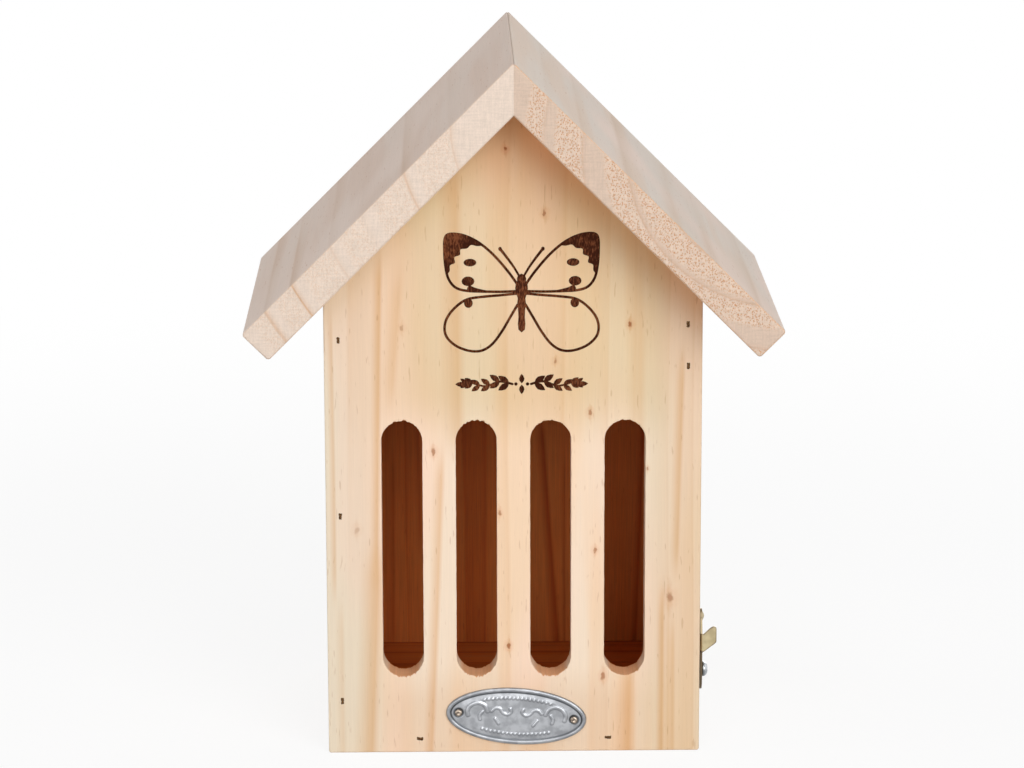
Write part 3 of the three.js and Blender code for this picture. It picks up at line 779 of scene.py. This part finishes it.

# Amber streaks: across and up at the top, the same at the bottom, half width in millimetres, depth.
# Those of the back board show through the slots; a few are painted shadow. On the floor board, up is to the
# right.
FRONT_STREAKS = [
    (-62.6, 165, -62.9, 50, 1.4, 0.5), (-45.4, 185, -48.6, 55, 2.2, 0.7),
    (-48.2, 80, -52.4, -25, 5.0, 0.7), (-38.5, 180, -43.4, 118, 3.4, 0.4),
    (-21.5, 215, -20.5, 100, 5.0, 0.5), (-25.2, 115, -30.6, -25, 2.4, 0.6),
    (42.6, 185, 43.4, 100, 4.0, 0.3), (58.4, 150, 56.2, 58, 2.2, 0.6), (51.6, 66, 51.0, -25, 1.8, 0.7),
    (55.3, 54, 55.2, -25, 1.8, 0.5), (39.6, 42, 38.6, -25, 3.6, 0.7), (-60.8, 60, -60.2, -25, 2.0, 0.3),
]
BACK_STREAKS_AND_SHADOW = [
    # The first, slanting across the third slot, is a painted shadow
    (11.0, 104, 19.5, -14, 2.4, 1.0), (50.6, 120, 46.0, -14, 1.7, 1.0), (-34.0, 150, -33.0, 40, 1.4, 0.5),
    (-8.5, 120, -9.5, -20, 1.2, 0.5), (-12.0, 300, -13.0, -60, 9.0, 0.5), (20.5, 90, 20.8, -20, 1.0, 0.7),
    (-43.0, 90, -44.0, 0, 1.5, 0.6),
]
# The first, along the foot of the back board, is painted contact shadow
FLOOR_STREAKS_AND_SHADOW = [(43.6, 80, 43.8, -80, 1.2, 1.0), (30.5, 80, 31.5, -80, 1.0, 0.8),
                 (12.0, 80, 16.0, -80, 3.0, 0.5)]

# Years of the roof boards, for ring_ramps
RIGHT_YEARS = [(43.8, 52.8, 0.3), (53.5, 61.8, 0.35), (68.3, 78.5, 0.25), (81.6, 88.6, 0.2)]
LEFT_YEARS = [(39.8, 54, 0.35), (57.8, 72, 0.7), (75.8, 87, 0.1), (90.3, 104, 0.35), (108, 117, 1.0),
              (120.4, 127, 0.8)]

# Tones of the wood: cream, warm, pink, amber of the late wood, sawn end, torn dots
FRONT_TONES = ("#eed9c2", "#eed0b1", "#f3d5bf", "#dcab79", "#e0aa80", "#c79a72")
PINE_TONES = ("#ecd9bf", "#ecceab", "#f2d3b8", "#dcab79", "#e0c4a6", "#c79a72")
BACK_TONES = ("#ecd9bf", "#ecceab", "#f2d3b8", "#c48d5c", "#e0c4a6", "#c79a72")
ROOF_RIGHT_TONES = ("#d9ccc0", "#dac7b7", "#e4cfc2", "#c4a68a", "#cdb6a4", "#bd855a")
ROOF_LEFT_TONES = ("#e2d1c5", "#dfcabc", "#e6d4c8", "#c9ab92", "#dccabb", "#c79a72")

# The front board is deeper in tone to its right and its foot; painted warm shade under the roof makes it
# honey-coloured above the slots, deeper in the gable's upper right and top, and warmer close under the
# eaves
FRONT_TONE_AND_PAINTED_SHADE = [("#f0f0e9", [(AXIS_X, 38, 52)]),
              ("#f4f9f8", [(-AXIS_X, 40, 54)]),
              ("#f6efe8", [(-AXIS_Z, -35, -15), (AXIS_X, -55, -35), (-AXIS_X, -55, -35)]),
              # Painted warm shade under the roof, from here to the end of the list
              ("#eeead8", [(AXIS_Z, 106, 132), (AXIS_X, -58, -30), (-AXIS_X, -64, -38)]),
              ("#f5ece6", [(Vector((0.6, 0, 0.8)), 135, 175)]),
              ("#fdf1ee", [(AXIS_Z, 190, 220)]),
              ("#ffe8d2", [(Vector((0.7, 0, 0.7)), 146, 160)]),
              ("#fffdf2", [(Vector((-0.7, 0, 0.7)), 146, 160)])]

# Pine planed smooth: a satin face with amber bands, knots and dashes of resin
front_pine = pine("pine_planed_front", AXIS_X, AXIS_Z, (-30, 75, 0), 5.2, FRONT_TONES, figure=0.22,
                  dotted=0.1, knots=FRONT_KNOTS, streaks=FRONT_STREAKS, tone_and_painted_shade=FRONT_TONE_AND_PAINTED_SHADE)
side_pine = pine("pine_planed_side", AXIS_Y, AXIS_Z, (20, -60, 0), 4.4, PINE_TONES, shift=400)
back_pine = pine("pine_planed_back", AXIS_X, AXIS_Z, (25, -50, 0), 4.8, BACK_TONES, shift=900,
                 streaks=BACK_STREAKS_AND_SHADOW)
floor_pine = pine("pine_planed_floor", AXIS_Y, AXIS_X, (0, 10, 60), 4.0, BACK_TONES, shift=1300,
                  streaks=FLOOR_STREAKS_AND_SHADOW)
# Pine left as the saw left it: greyer and nearly matt, its ends rough with torn pores
slope_right, slope_left = [Vector((side * math.cos(ROOF_PITCH), 0, -math.sin(ROOF_PITCH)))
                           for side in (1, -1)]
roof_right_pine = pine("pine_sawn_roof_right", slope_right, AXIS_Y, (91, 0, 217), RIGHT_YEARS,
                       ROOF_RIGHT_TONES, shift=1700, wander=1.2, figure=0.9, dotted=0.9, roughness=0.85)
roof_left_pine = pine("pine_sawn_roof_left", slope_left, AXIS_Y, (18.4, 0, 225.8), LEFT_YEARS,
                      ROOF_LEFT_TONES, shift=2100, wander=1.2, dotted=0.35, roughness=0.85)
scorched_and_pit_shade = scorched_and_pit_shade_pine()

# Galvanised sheet, pressed: a soft grey sheen with faint clouds, painted shade at the foot of its relief
# and pin seats
galvanised = coated_steel("steel_galvanised_pressed", "#5a5d61", "#999b9f", "#b3b5b9", 0.36, 3)
# Stamped sheet under yellow zinc: a pale straw sheen with brown cut edges, partly bare steel and partly
# painted dark reflection
yellow_zinc = coated_steel("steel_yellow_zinc_plated", "#6a5b49", "#ab9c7b", "#c2b38f", 0.4, 4)
# A turned screw under bright zinc: clear, cold highlights
bright_zinc = coated_steel("steel_bright_zinc_plated", "#5a5d60", "#a9adb0", "#d0d3d6", 0.26, 3)
# Drawn pins under nickel: small warm glints
pin_steel = coated_steel("steel_nickel_plated_pin", "#4d453e", "#74685d", "#ad9f91", 0.3, 1)
# Drawn wire under resin: dark brown, with little shine
brad_steel = coated_steel("steel_wire_resin_coated", "#33241a", "#4f3826", "#7d5d3e", 0.6, 0.6)
# Painted shade: the screw's cross recess as dark, dull steel
recess_painted_shade = coated_steel("steel_recess_painted_shade", "#33373b", "#4b5056", "#6d737a", 0.45, 1)

for node_name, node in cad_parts.items():
    material = {"door": side_pine, "floor_board": floor_pine}.get(node_name)
    if node_name.startswith("brad_"):
        material = brad_steel
    if material:
        node.data.materials.clear()
        node.data.materials.append(material)
        smooth_by_angle(node.data)

SANDED = 0.5
SANDED_ANGLE = math.radians(50)
SANDED_LENGTH = 3


def sanded_board(node_name, material):
    """A packed board with its long arrises rounded by sanding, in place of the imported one."""
    def build(shape):
        shape.from_mesh(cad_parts[node_name].data)
        bmesh.ops.scale(shape, vec=(1 / MM,) * 3, verts=shape.verts)
        bmesh.ops.remove_doubles(shape, verts=shape.verts, dist=0.01)
        weight = shape.edges.layers.float.new("bevel_weight_edge")
        for edge in shape.edges:
            crisp = len(edge.link_faces) == 2 and edge.calc_face_angle() > SANDED_ANGLE
            edge[weight] = float(crisp and edge.calc_length() > SANDED_LENGTH)

    board = mesh_object(node_name + "_sanded", build, material)
    bevel = board.modifiers.new("sanded_arrises", "BEVEL")
    bevel.limit_method = "WEIGHT"
    bevel.width = SANDED * MM
    bevel.segments = 3
    bevel.use_clamp_overlap = False
    flatten_shading(board)
    settle(board, "house", node_name)


sanded_board("back_panel", back_pine)
sanded_board("left_wall", side_pine)
sanded_board("lintel", side_pine)

FRONT_CELL = 9


def plain_front(shape):
    """The front board before its slots, brad pits and burnt picture are cut into it."""
    board_solid(shape, gable_outline(), FRONT, FRONT_INNER, 0.5, 0.15)
    cut_in_cells(shape, FRONT_CELL)


front_board = mesh_object("front_board", plain_front, front_pine)
# The brads' pits are lined with the dark scorched wood as painted shade
for cutter, material in ((slot_cutter, front_pine), (brad_pockets, scorched_and_pit_shade), (burn_cutter, scorched_and_pit_shade)):
    carve(front_board, mesh_object("cutter", cutter, material))
flatten_shading(front_board)
settle(front_board, "house", "front_panel")


def roof_outline(side):
    """Outline of one roof board: 1 is the right one, -1 the left; they meet on the ridge's mitre."""
    run = ROOF_SLOPE * math.cos(ROOF_PITCH)
    drop = ROOF_SLOPE * math.sin(ROOF_PITCH)
    depth = ROOF_BOARD * math.cos(ROOF_PITCH)
    corners = [(0, RIDGE_HEIGHT), (run, RIDGE_HEIGHT - drop), (run - depth, RIDGE_HEIGHT - drop - depth),
               (0, UNDERSIDE_RIDGE)]
    outline = finely(eased_outline(corners, [0.35, 1.2, 1.2, 0.2]), 1.5)
    return [(side * x, z) for x, z in outline]


for side, name, material in ((-1, "roof_left", roof_left_pine), (1, "roof_right", roof_right_pine)):
    roof = mesh_object(name + "_board", partial(
        board_solid, outline=roof_outline(side), front=roof_low.y, back=roof_high.y,
        arris=ARRIS, wobble=ARRIS_WOBBLE, mitred=True), material)
    flatten_shading(roof)
    settle(roof, "house", name)


# Pressed relief of the tag: plain scrolls and two rows of beads, each line with its radius
SCROLLS = [
    ([(10.2, 1.2), (11.2, 3.2), (13.6, 4.1), (16.0, 3.2), (17.3, 1.2), (16.9, -0.8)], 0.72),
    ([(12.0, 1.0), (12.9, -0.4), (12.6, -2.0)], 0.62),
    ([(8.8, 1.4), (7.5, 2.6), (5.8, 2.4), (4.7, 1.0), (3.2, 0.5), (2.0, 1.4), (2.3, 2.7)], 0.62),
    ([(7.4, -1.2), (6.0, -3.2)], 0.55),
]
BEAD_PITCH = 1.45
BEAD_COUNT = 8
BEAD_RADIUS = 0.62
BEAD_ROW = 6.5
BEAD_ROW_END = 20
EMBOSS = 0.38

# The rolled rim: depth in from the edge and height off the board, down to the foot of the field
RIM_FOOT = 0.3
RIM_PROFILE = [(0.0, 0.12), (0.0, 0.38), (0.1, 0.6), (0.3, 0.82), (0.6, 0.98), (0.9, 1.02), (1.2, 0.94),
               (1.42, 0.76), (1.56, 0.52), (1.7, 0.34), (1.85, 0.28), (2.1, RIM_FOOT)]
FIELD_HEIGHT = 0.5
FIELD_EDGE = 0.12
FIELD_COLUMNS = 220
FIELD_ROWS = 84
PIN_SEAT = 2.0


def tag_point(across, up, out):
    """A point of the tag's own plane, tilted as it is nailed on; out is its height off the board."""
    cos, sin = math.cos(TAG_TILT), math.sin(TAG_TILT)
    return (TAG_CENTRE[0] + across * cos + up * sin, FRONT - out, TAG_CENTRE[1] - across * sin + up * cos)


def tag_edge(angle, depth):
    """A point of the oval, moved in from its edge by a depth."""
    half_x, half_z = TAG_LENGTH / 2, TAG_HEIGHT / 2
    normal = Vector((half_z * math.cos(angle), half_x * math.sin(angle))).normalized()
    return Vector((half_x * math.cos(angle), half_z * math.sin(angle))) - normal * depth


def relief_lines():
    """Points of the pressed pattern with their radii, close together along each line."""
    points = []
    for path, radius in SCROLLS:
        for x, z in finely(smooth_path(path), 0.25, closed=False):
            points += [(x, z, radius), (-x, z, radius)]
    for i in range(-BEAD_COUNT, BEAD_COUNT + 1):
        x = i * BEAD_PITCH
        z = BEAD_ROW * math.sqrt(1 - (x / BEAD_ROW_END) ** 2)
        points += [(x, z, BEAD_RADIUS), (x, -z, BEAD_RADIUS)]
    return points


def pressed_field(across, up, share, lines):
    """Height of the field at a point, and how much painted shade dulls its zinc: most at the foot of a
    pressed line and in a pin's seat. The share is 0 in the middle and 1 at the rim."""
    reaches = [math.hypot(across - x, up - z) / radius for x, z, radius in lines]
    nearest = min(min(reaches), 1)
    height = RIM_FOOT + (FIELD_HEIGHT - RIM_FOOT) * min((1 - share) / FIELD_EDGE, 1)
    height += EMBOSS * (1 - nearest * nearest) ** 0.8
    dull = max(0, max(0.45 - abs(reach - 1.05) * 1.4 for reach in reaches))
    for x in (-PIN_SPREAD / 2, PIN_SPREAD / 2):
        reach = math.hypot(across - x, up) / PIN_SEAT
        if reach < 1:
            height = min(height, RIM_FOOT + (height - RIM_FOOT) * max((reach - 0.72) / 0.28, 0))
        dull = max(dull, min(1.3 - abs(reach - 0.78) * 5, 1))
    return height, dull if nearest >= 0.75 else 0


def tag_sheet(shape):
    """The pressed oval: a rolled rim and, inside it, a fine grid raised into the pattern."""
    lines = relief_lines()
    hollow = shape.verts.layers.float.new("hollow")
    inner = RIM_PROFILE[-1][0]
    grid = {}
    border = []
    for row in range(FIELD_ROWS + 1):
        for column in range(FIELD_COLUMNS + 1):
            s, t = 2 * column / FIELD_COLUMNS - 1, 2 * row / FIELD_ROWS - 1
            u, v = s * math.sqrt(1 - t * t / 2), t * math.sqrt(1 - s * s / 2)
            share, angle = math.hypot(u, v), math.atan2(v, u)
            across, up = tag_edge(angle, inner) * share
            height, dull = pressed_field(across, up, share, lines)
            corner = shape.verts.new(tag_point(across, up, height))
            corner[hollow] = dull
            grid[column, row] = corner
            if column in (0, FIELD_COLUMNS) or row in (0, FIELD_ROWS):
                border.append((angle, corner))
    for row in range(FIELD_ROWS):
        for column in range(FIELD_COLUMNS):
            shape.faces.new([grid[column + i, row + j] for i, j in ((0, 0), (1, 0), (1, 1), (0, 1))])
    border.sort(key=lambda pair: pair[0])
    ring = [corner for _, corner in border]
    for depth, height in reversed(RIM_PROFILE[:-1]):
        wider = []
        for angle, _ in border:
            corner = shape.verts.new(tag_point(*tag_edge(angle, depth), height))
            # The rim is dulled all round, and most at the foot of its inner slope as painted shade
            corner[hollow] = 0.9 if height < 0.6 and depth > 1 else 0.35
            wider.append(corner)
        for i, corner in enumerate(ring):
            j = (i + 1) % len(ring)
            shape.faces.new((corner, ring[j], wider[j], wider[i]))
        ring = wider
    shape.faces.new(ring)


tag = mesh_object("oval_tag_pressed", tag_sheet, galvanised)
settle(tag, "house", "oval_tag")


def lathe(shape, profile, place, sides=32):
    """Turns a profile of (radius, height) into a closed skin; place puts each point in the house."""
    skin(shape, [[place(x, z, height) for x, z in disc((0, 0), radius, radius, sides)]
                 for radius, height in profile])


# A round-head pin: shank in the board, then a domed head with a small dimple
PIN_PROFILE = [(0.1, -8.0), (0.6, -6.8), (0.6, 0.45), (1.2, 0.5), (1.33, 0.62), (1.34, 0.8), (1.22, 1.06),
               (0.98, 1.26), (0.7, 1.36), (0.5, 1.34), (0.36, 1.22), (0.24, 1.14), (0.05, 1.12)]

for name, centre in (("left", -PIN_SPREAD / 2), ("right", PIN_SPREAD / 2)):
    pin = mesh_object("round_pin_" + name, lambda shape: lathe(
        shape, PIN_PROFILE, lambda x, z, out: tag_point(centre + x, z, out)), pin_steel)
    settle(pin, "house", "tag_pin_" + name)


# The turn latch, cut flat from sheet and bent: sizes in millimetres from its screw, across towards the
# back of the house, up along the arm and out of the wall
LATCH_PLACE = Vector((65, -50, 28.4))
LATCH_OUT = 0.25
LATCH_SHEET = 0.7
LATCH_HALF = 4.5
LATCH_TAIL = 7.2
LATCH_SHOULDER = 14
TIP_HALF = 2.8
TIP_UP = 19.2
SCREW_HOLE = 1.55
DOME_UP = 19.4
DOME_RADIUS = 2.2
DOME_HEIGHT = 0.8
FOLD = -3.3
FOLD_RADIUS = 0.5
FOLD_LENGTH = (FOLD_RADIUS + LATCH_SHEET / 2) * math.pi / 2
FOLD_STEPS = 8
TAB_LOW = 7.5
TAB_HIGH = 13.9
TAB_RISE = 3.4
TAB_REACH = 4.4
RELIEF = 0.4
LATCH_GRID = 0.42
LATCH_GRID_CORNER = (-9.0, -7.1)
LATCH_GRID_COUNTS = (33, 70)
CUT_EDGE = 0.4


def latch_point(across, up, out):
    """A point near the latch, measured from its screw, as a point of the house."""
    return LATCH_PLACE + Vector((out, across, up))


def latch_outline():
    """The flat latch: round tail, the tab between its relief cuts, tapered arm with a round tip."""
    tail = arc((0, 0), LATCH_HALF, -LATCH_TAIL, 24)
    root, end = FOLD - FOLD_LENGTH, FOLD - FOLD_LENGTH - TAB_REACH
    corners = [(-LATCH_HALF, TAB_LOW - RELIEF), (FOLD, TAB_LOW - RELIEF), (FOLD, TAB_LOW), (root, TAB_LOW),
               (end, TAB_LOW + TAB_RISE), (end, TAB_HIGH + TAB_RISE),
               (root - TAB_REACH / 2, TAB_HIGH + 0.62 * TAB_RISE), (root, TAB_HIGH), (FOLD, TAB_HIGH),
               (FOLD, TAB_HIGH + RELIEF), (-LATCH_HALF + 0.1, TAB_HIGH + RELIEF)]
    tab = eased_outline(corners, [0.4, 0, 0, 0.5, 1.4, 0.9, 3, 0.5, 0, 0, 0.3])
    tip = arc((0, TIP_UP), -TIP_HALF, TIP_HALF, 20)
    return finely(tail + tab + tip + [(LATCH_HALF, LATCH_SHOULDER)], LATCH_GRID)


def folded(across, up, out):
    """Where a point of the flat sheet comes to lie once the dome is pressed and the tab is bent."""
    reach = math.hypot(across, up - DOME_UP) / DOME_RADIUS
    if reach < 1:
        out += DOME_HEIGHT * (0.5 + 0.5 * math.cos(reach * math.pi)) ** 0.8
    on_tab = across < -LATCH_HALF - 0.01 or TAB_LOW - 0.01 < up < TAB_HIGH + 0.01
    if across < FOLD and on_tab:
        past = FOLD - across
        radius = LATCH_OUT + LATCH_SHEET + FOLD_RADIUS - out
        angle = min(past / FOLD_LENGTH, 1) * math.pi / 2
        across = FOLD - radius * math.sin(angle)
        out = LATCH_OUT + LATCH_SHEET + FOLD_RADIUS - radius * math.cos(angle) + max(past - FOLD_LENGTH, 0)
    return latch_point(across, up, out)


def latch_sheet(shape):
    """The latch, of one even sheet; its cut edges and a thin band of face along them are marked to be
    dulled, as bare steel and as painted dark reflection.
    """
    outline = latch_outline()
    hole = disc((0, 0), SCREW_HOLE, SCREW_HOLE, 32)
    columns = [FOLD - FOLD_LENGTH * i / FOLD_STEPS for i in range(FOLD_STEPS + 1)]
    plain, heights = [[low + LATCH_GRID * i for i in range(count)]
                      for low, count in zip(LATCH_GRID_CORNER, LATCH_GRID_COUNTS)]
    columns += [across for across in plain if not FOLD - FOLD_LENGTH < across < FOLD]
    grid = [(across, up) for across in columns for up in heights]
    flat = [Vector(point) for point in outline + hole + grid]
    loops = [list(range(len(outline))), list(range(len(outline), len(outline) + len(hole)))]
    points, _, faces, _, _, _ = geometry.delaunay_2d_cdt(flat, [], loops, 2, 1e-4)
    cut = shape.verts.layers.float.new("hollow")
    rim = [Vector(point) for point in outline]
    sheets = sheet_solid(shape, points, faces, [partial(folded, out=out)
                                                for out in (LATCH_OUT, LATCH_OUT + LATCH_SHEET)])
    # Cut edges dulled, partly as bare steel and partly as painted dark reflection
    for sheet in sheets:
        for i, corner in sheet.items():
            nearest = min((points[i] - point).length for point in rim)
            corner[cut] = max(0, 1 - nearest / CUT_EDGE) * (1 if points[i].y < TAB_HIGH else 0.7)


latch = mesh_object("turn_latch_bent", latch_sheet, yellow_zinc)
settle(latch, "latch", "turn_latch")

# Pan-head screw: (radius, out of the wall), from the point of the shank to the crown
SCREW_PROFILE = [(0.05, -14.0), (1.25, -11.5), (1.25, 1.2), (2.45, 1.2), (2.6, 1.28), (2.65, 1.45),
                 (2.62, 1.75), (2.5, 2.1), (2.25, 2.45), (1.85, 2.75), (1.35, 2.95), (0.8, 3.07),
                 (0.3, 3.1), (0.05, 3.1)]
RECESS_TOP = 3.3
RECESS_FLOOR = 2.1
RECESS_ARM = 1.5
RECESS_HALF = 0.4


def recess_cutter(shape):
    """The cross struck into the screw's head, narrower at its floor."""
    rings = []
    for out, size in ((RECESS_TOP, 1.05), (RECESS_FLOOR, 0.6)):
        arm, half = RECESS_ARM * size, RECESS_HALF * size
        corners = [(arm, -half), (arm, half), (half, half), (half, arm), (-half, arm), (-half, half),
                   (-arm, half), (-arm, -half), (-half, -half), (-half, -arm), (half, -arm), (half, -half)]
        rings.append([latch_point(across, up, out) for across, up in corners])
    skin(shape, rings)


def screw_solid(shape):
    """The turned screw, the rim of its head darkened as a painted dark reflection."""
    lathe(shape, SCREW_PROFILE, latch_point, 48)
    dull = shape.verts.layers.float.new("hollow")
    # Painted dark reflection on the rim of the head
    for corner in shape.verts:
        out = corner.co.x - LATCH_PLACE.x
        corner[dull] = max(0, min(1, (2.2 - out) / 0.6)) * 0.85


screw = mesh_object("pan_head_screw", screw_solid, bright_zinc)
# The recess takes the dark steel as painted shade
carve(screw, mesh_object("cutter", recess_cutter, recess_painted_shade))
settle(screw, "house", "latch_screw")


# The stage, in metres: where the floor's shadow fades into white, and the light of the surround
FLOOR_REACH = 4
FLOOR_CLEAR = 0.22
FLOOR_FADE = 0.75
FLOOR_WHITE = 0.86
WORLD_LIGHT = 0.18


def paper_floor():
    """White paper that keeps the soft shadow near the house: seen by the camera or in a reflection, the
    rest of it is mostly plain white."""
    mesh = bpy.data.meshes.new("floor")
    mesh.from_pydata([(x * FLOOR_REACH, y * FLOOR_REACH, 0) for x, y in SQUARE], [], [(0, 1, 2, 3)])
    material, add = new_material("floor_white_paper", Roughness=0.9)
    mesh.materials.append(material)
    floor = link_object("floor", mesh)
    nodes, links = material.node_tree.nodes, material.node_tree.links
    rays = add("LightPath")
    seen = add("Math MAXIMUM", [rays.outputs["Is Camera Ray"], rays.outputs["Is Glossy Ray"]])
    away = add("VectorMath LENGTH", [add("TexCoord").outputs["Object"]])
    plain = add("MapRange", [away, FLOOR_CLEAR, FLOOR_FADE, FLOOR_WHITE, 1.0], **EASED)
    white = add("Emission", {"Color": linear("#ffffff"), "Strength": 1.0})
    both = add("MixShader", [add("Math MULTIPLY", [seen, plain]), nodes["Principled BSDF"], white])
    tone = add("Mix", [rays.outputs["Is Camera Ray"], linear("#cccccc"), linear("#f2f2f2")])
    links.new(first_output(both), nodes["Material Output"].inputs["Surface"])
    links.new(first_output(tone), nodes["Principled BSDF"].inputs["Base Color"])


def white_surround():
    """Plain white wherever it is seen, and a faint light on everything else."""
    world = bpy.data.worlds.new("studio")
    bpy.context.scene.world = world
    world.use_nodes = True
    add = partial(add_node, world.node_tree)
    rays = add("LightPath")
    seen = 0.0
    for kind in ("Camera", "Glossy", "Transmission"):
        seen = add("Math MAXIMUM", [seen, rays.outputs[f"Is {kind} Ray"]])
    strength = add("MapRange", [seen, 0, 1, WORLD_LIGHT, 1.0])
    background = world.node_tree.nodes["Background"]
    background.inputs["Color"].default_value = (1, 1, 1, 1)
    world.node_tree.links.new(first_output(strength), background.inputs["Strength"])


# Soft lamps: name, place in metres, size, share of full light that it gives at the house
LAMP_TARGET = Vector((0, 0, 0.13))
LAMPS = [
    ("key_front_right", (0.63, -1.26, 0.66), 0.90, 0.56),
    ("key_front_top", (0.05, -0.80, 1.55), 0.90, 0.23),
    ("fill_front_left", (-0.50, -1.31, 0.28), 0.80, 0.25),
    ("fill_left", (-1.45, 0.15, 0.55), 1.00, 0.30),
    ("fill_back", (0.40, 1.50, 0.50), 1.00, 0.40),
    ("fill_right", (1.50, 0.35, 0.40), 1.00, 0.04),
]


def soft_lamps():
    """Each lamp is a square that faces the house, with the power that its share needs from there."""
    for name, place, size, share in LAMPS:
        lamp = bpy.data.lights.new(name, "AREA")
        holder = link_object(name, lamp)
        away = Vector(place) - LAMP_TARGET
        lamp.size = size
        lamp.energy = share * math.pi ** 2 * away.length_squared
        holder.location = place
        holder.rotation_euler = away.to_track_quat("Z", "Y").to_euler()


# The photograph's viewpoint, found from the edges of the house in it
PHOTO_WIDTH = 1024
FOCAL_PIXELS = 3814
SENSOR_WIDTH = 36
CAMERA_PLACE = (-0.0213, -1.3316, 0.4290)
CAMERA_YAW = math.radians(-0.936)
CAMERA_DOWN = math.radians(13.069)
CAMERA_ROLL = math.radians(-0.131)


def photo_camera():
    """The photograph's own viewpoint."""
    lens = bpy.data.cameras.new("photo")
    lens.sensor_width = SENSOR_WIDTH
    lens.lens = SENSOR_WIDTH * FOCAL_PIXELS / PHOTO_WIDTH
    camera = link_object("photo", lens)
    camera.location = CAMERA_PLACE
    turn = (Matrix.Rotation(CAMERA_YAW, 3, "Z") @ Matrix.Rotation(math.pi / 2 - CAMERA_DOWN, 3, "X")
            @ Matrix.Rotation(CAMERA_ROLL, 3, "Z"))
    camera.rotation_euler = turn.to_euler()
    bpy.context.scene.camera = camera


paper_floor()
white_surround()
soft_lamps()
photo_camera()
bpy.context.scene.view_settings.view_transform = "Standard"
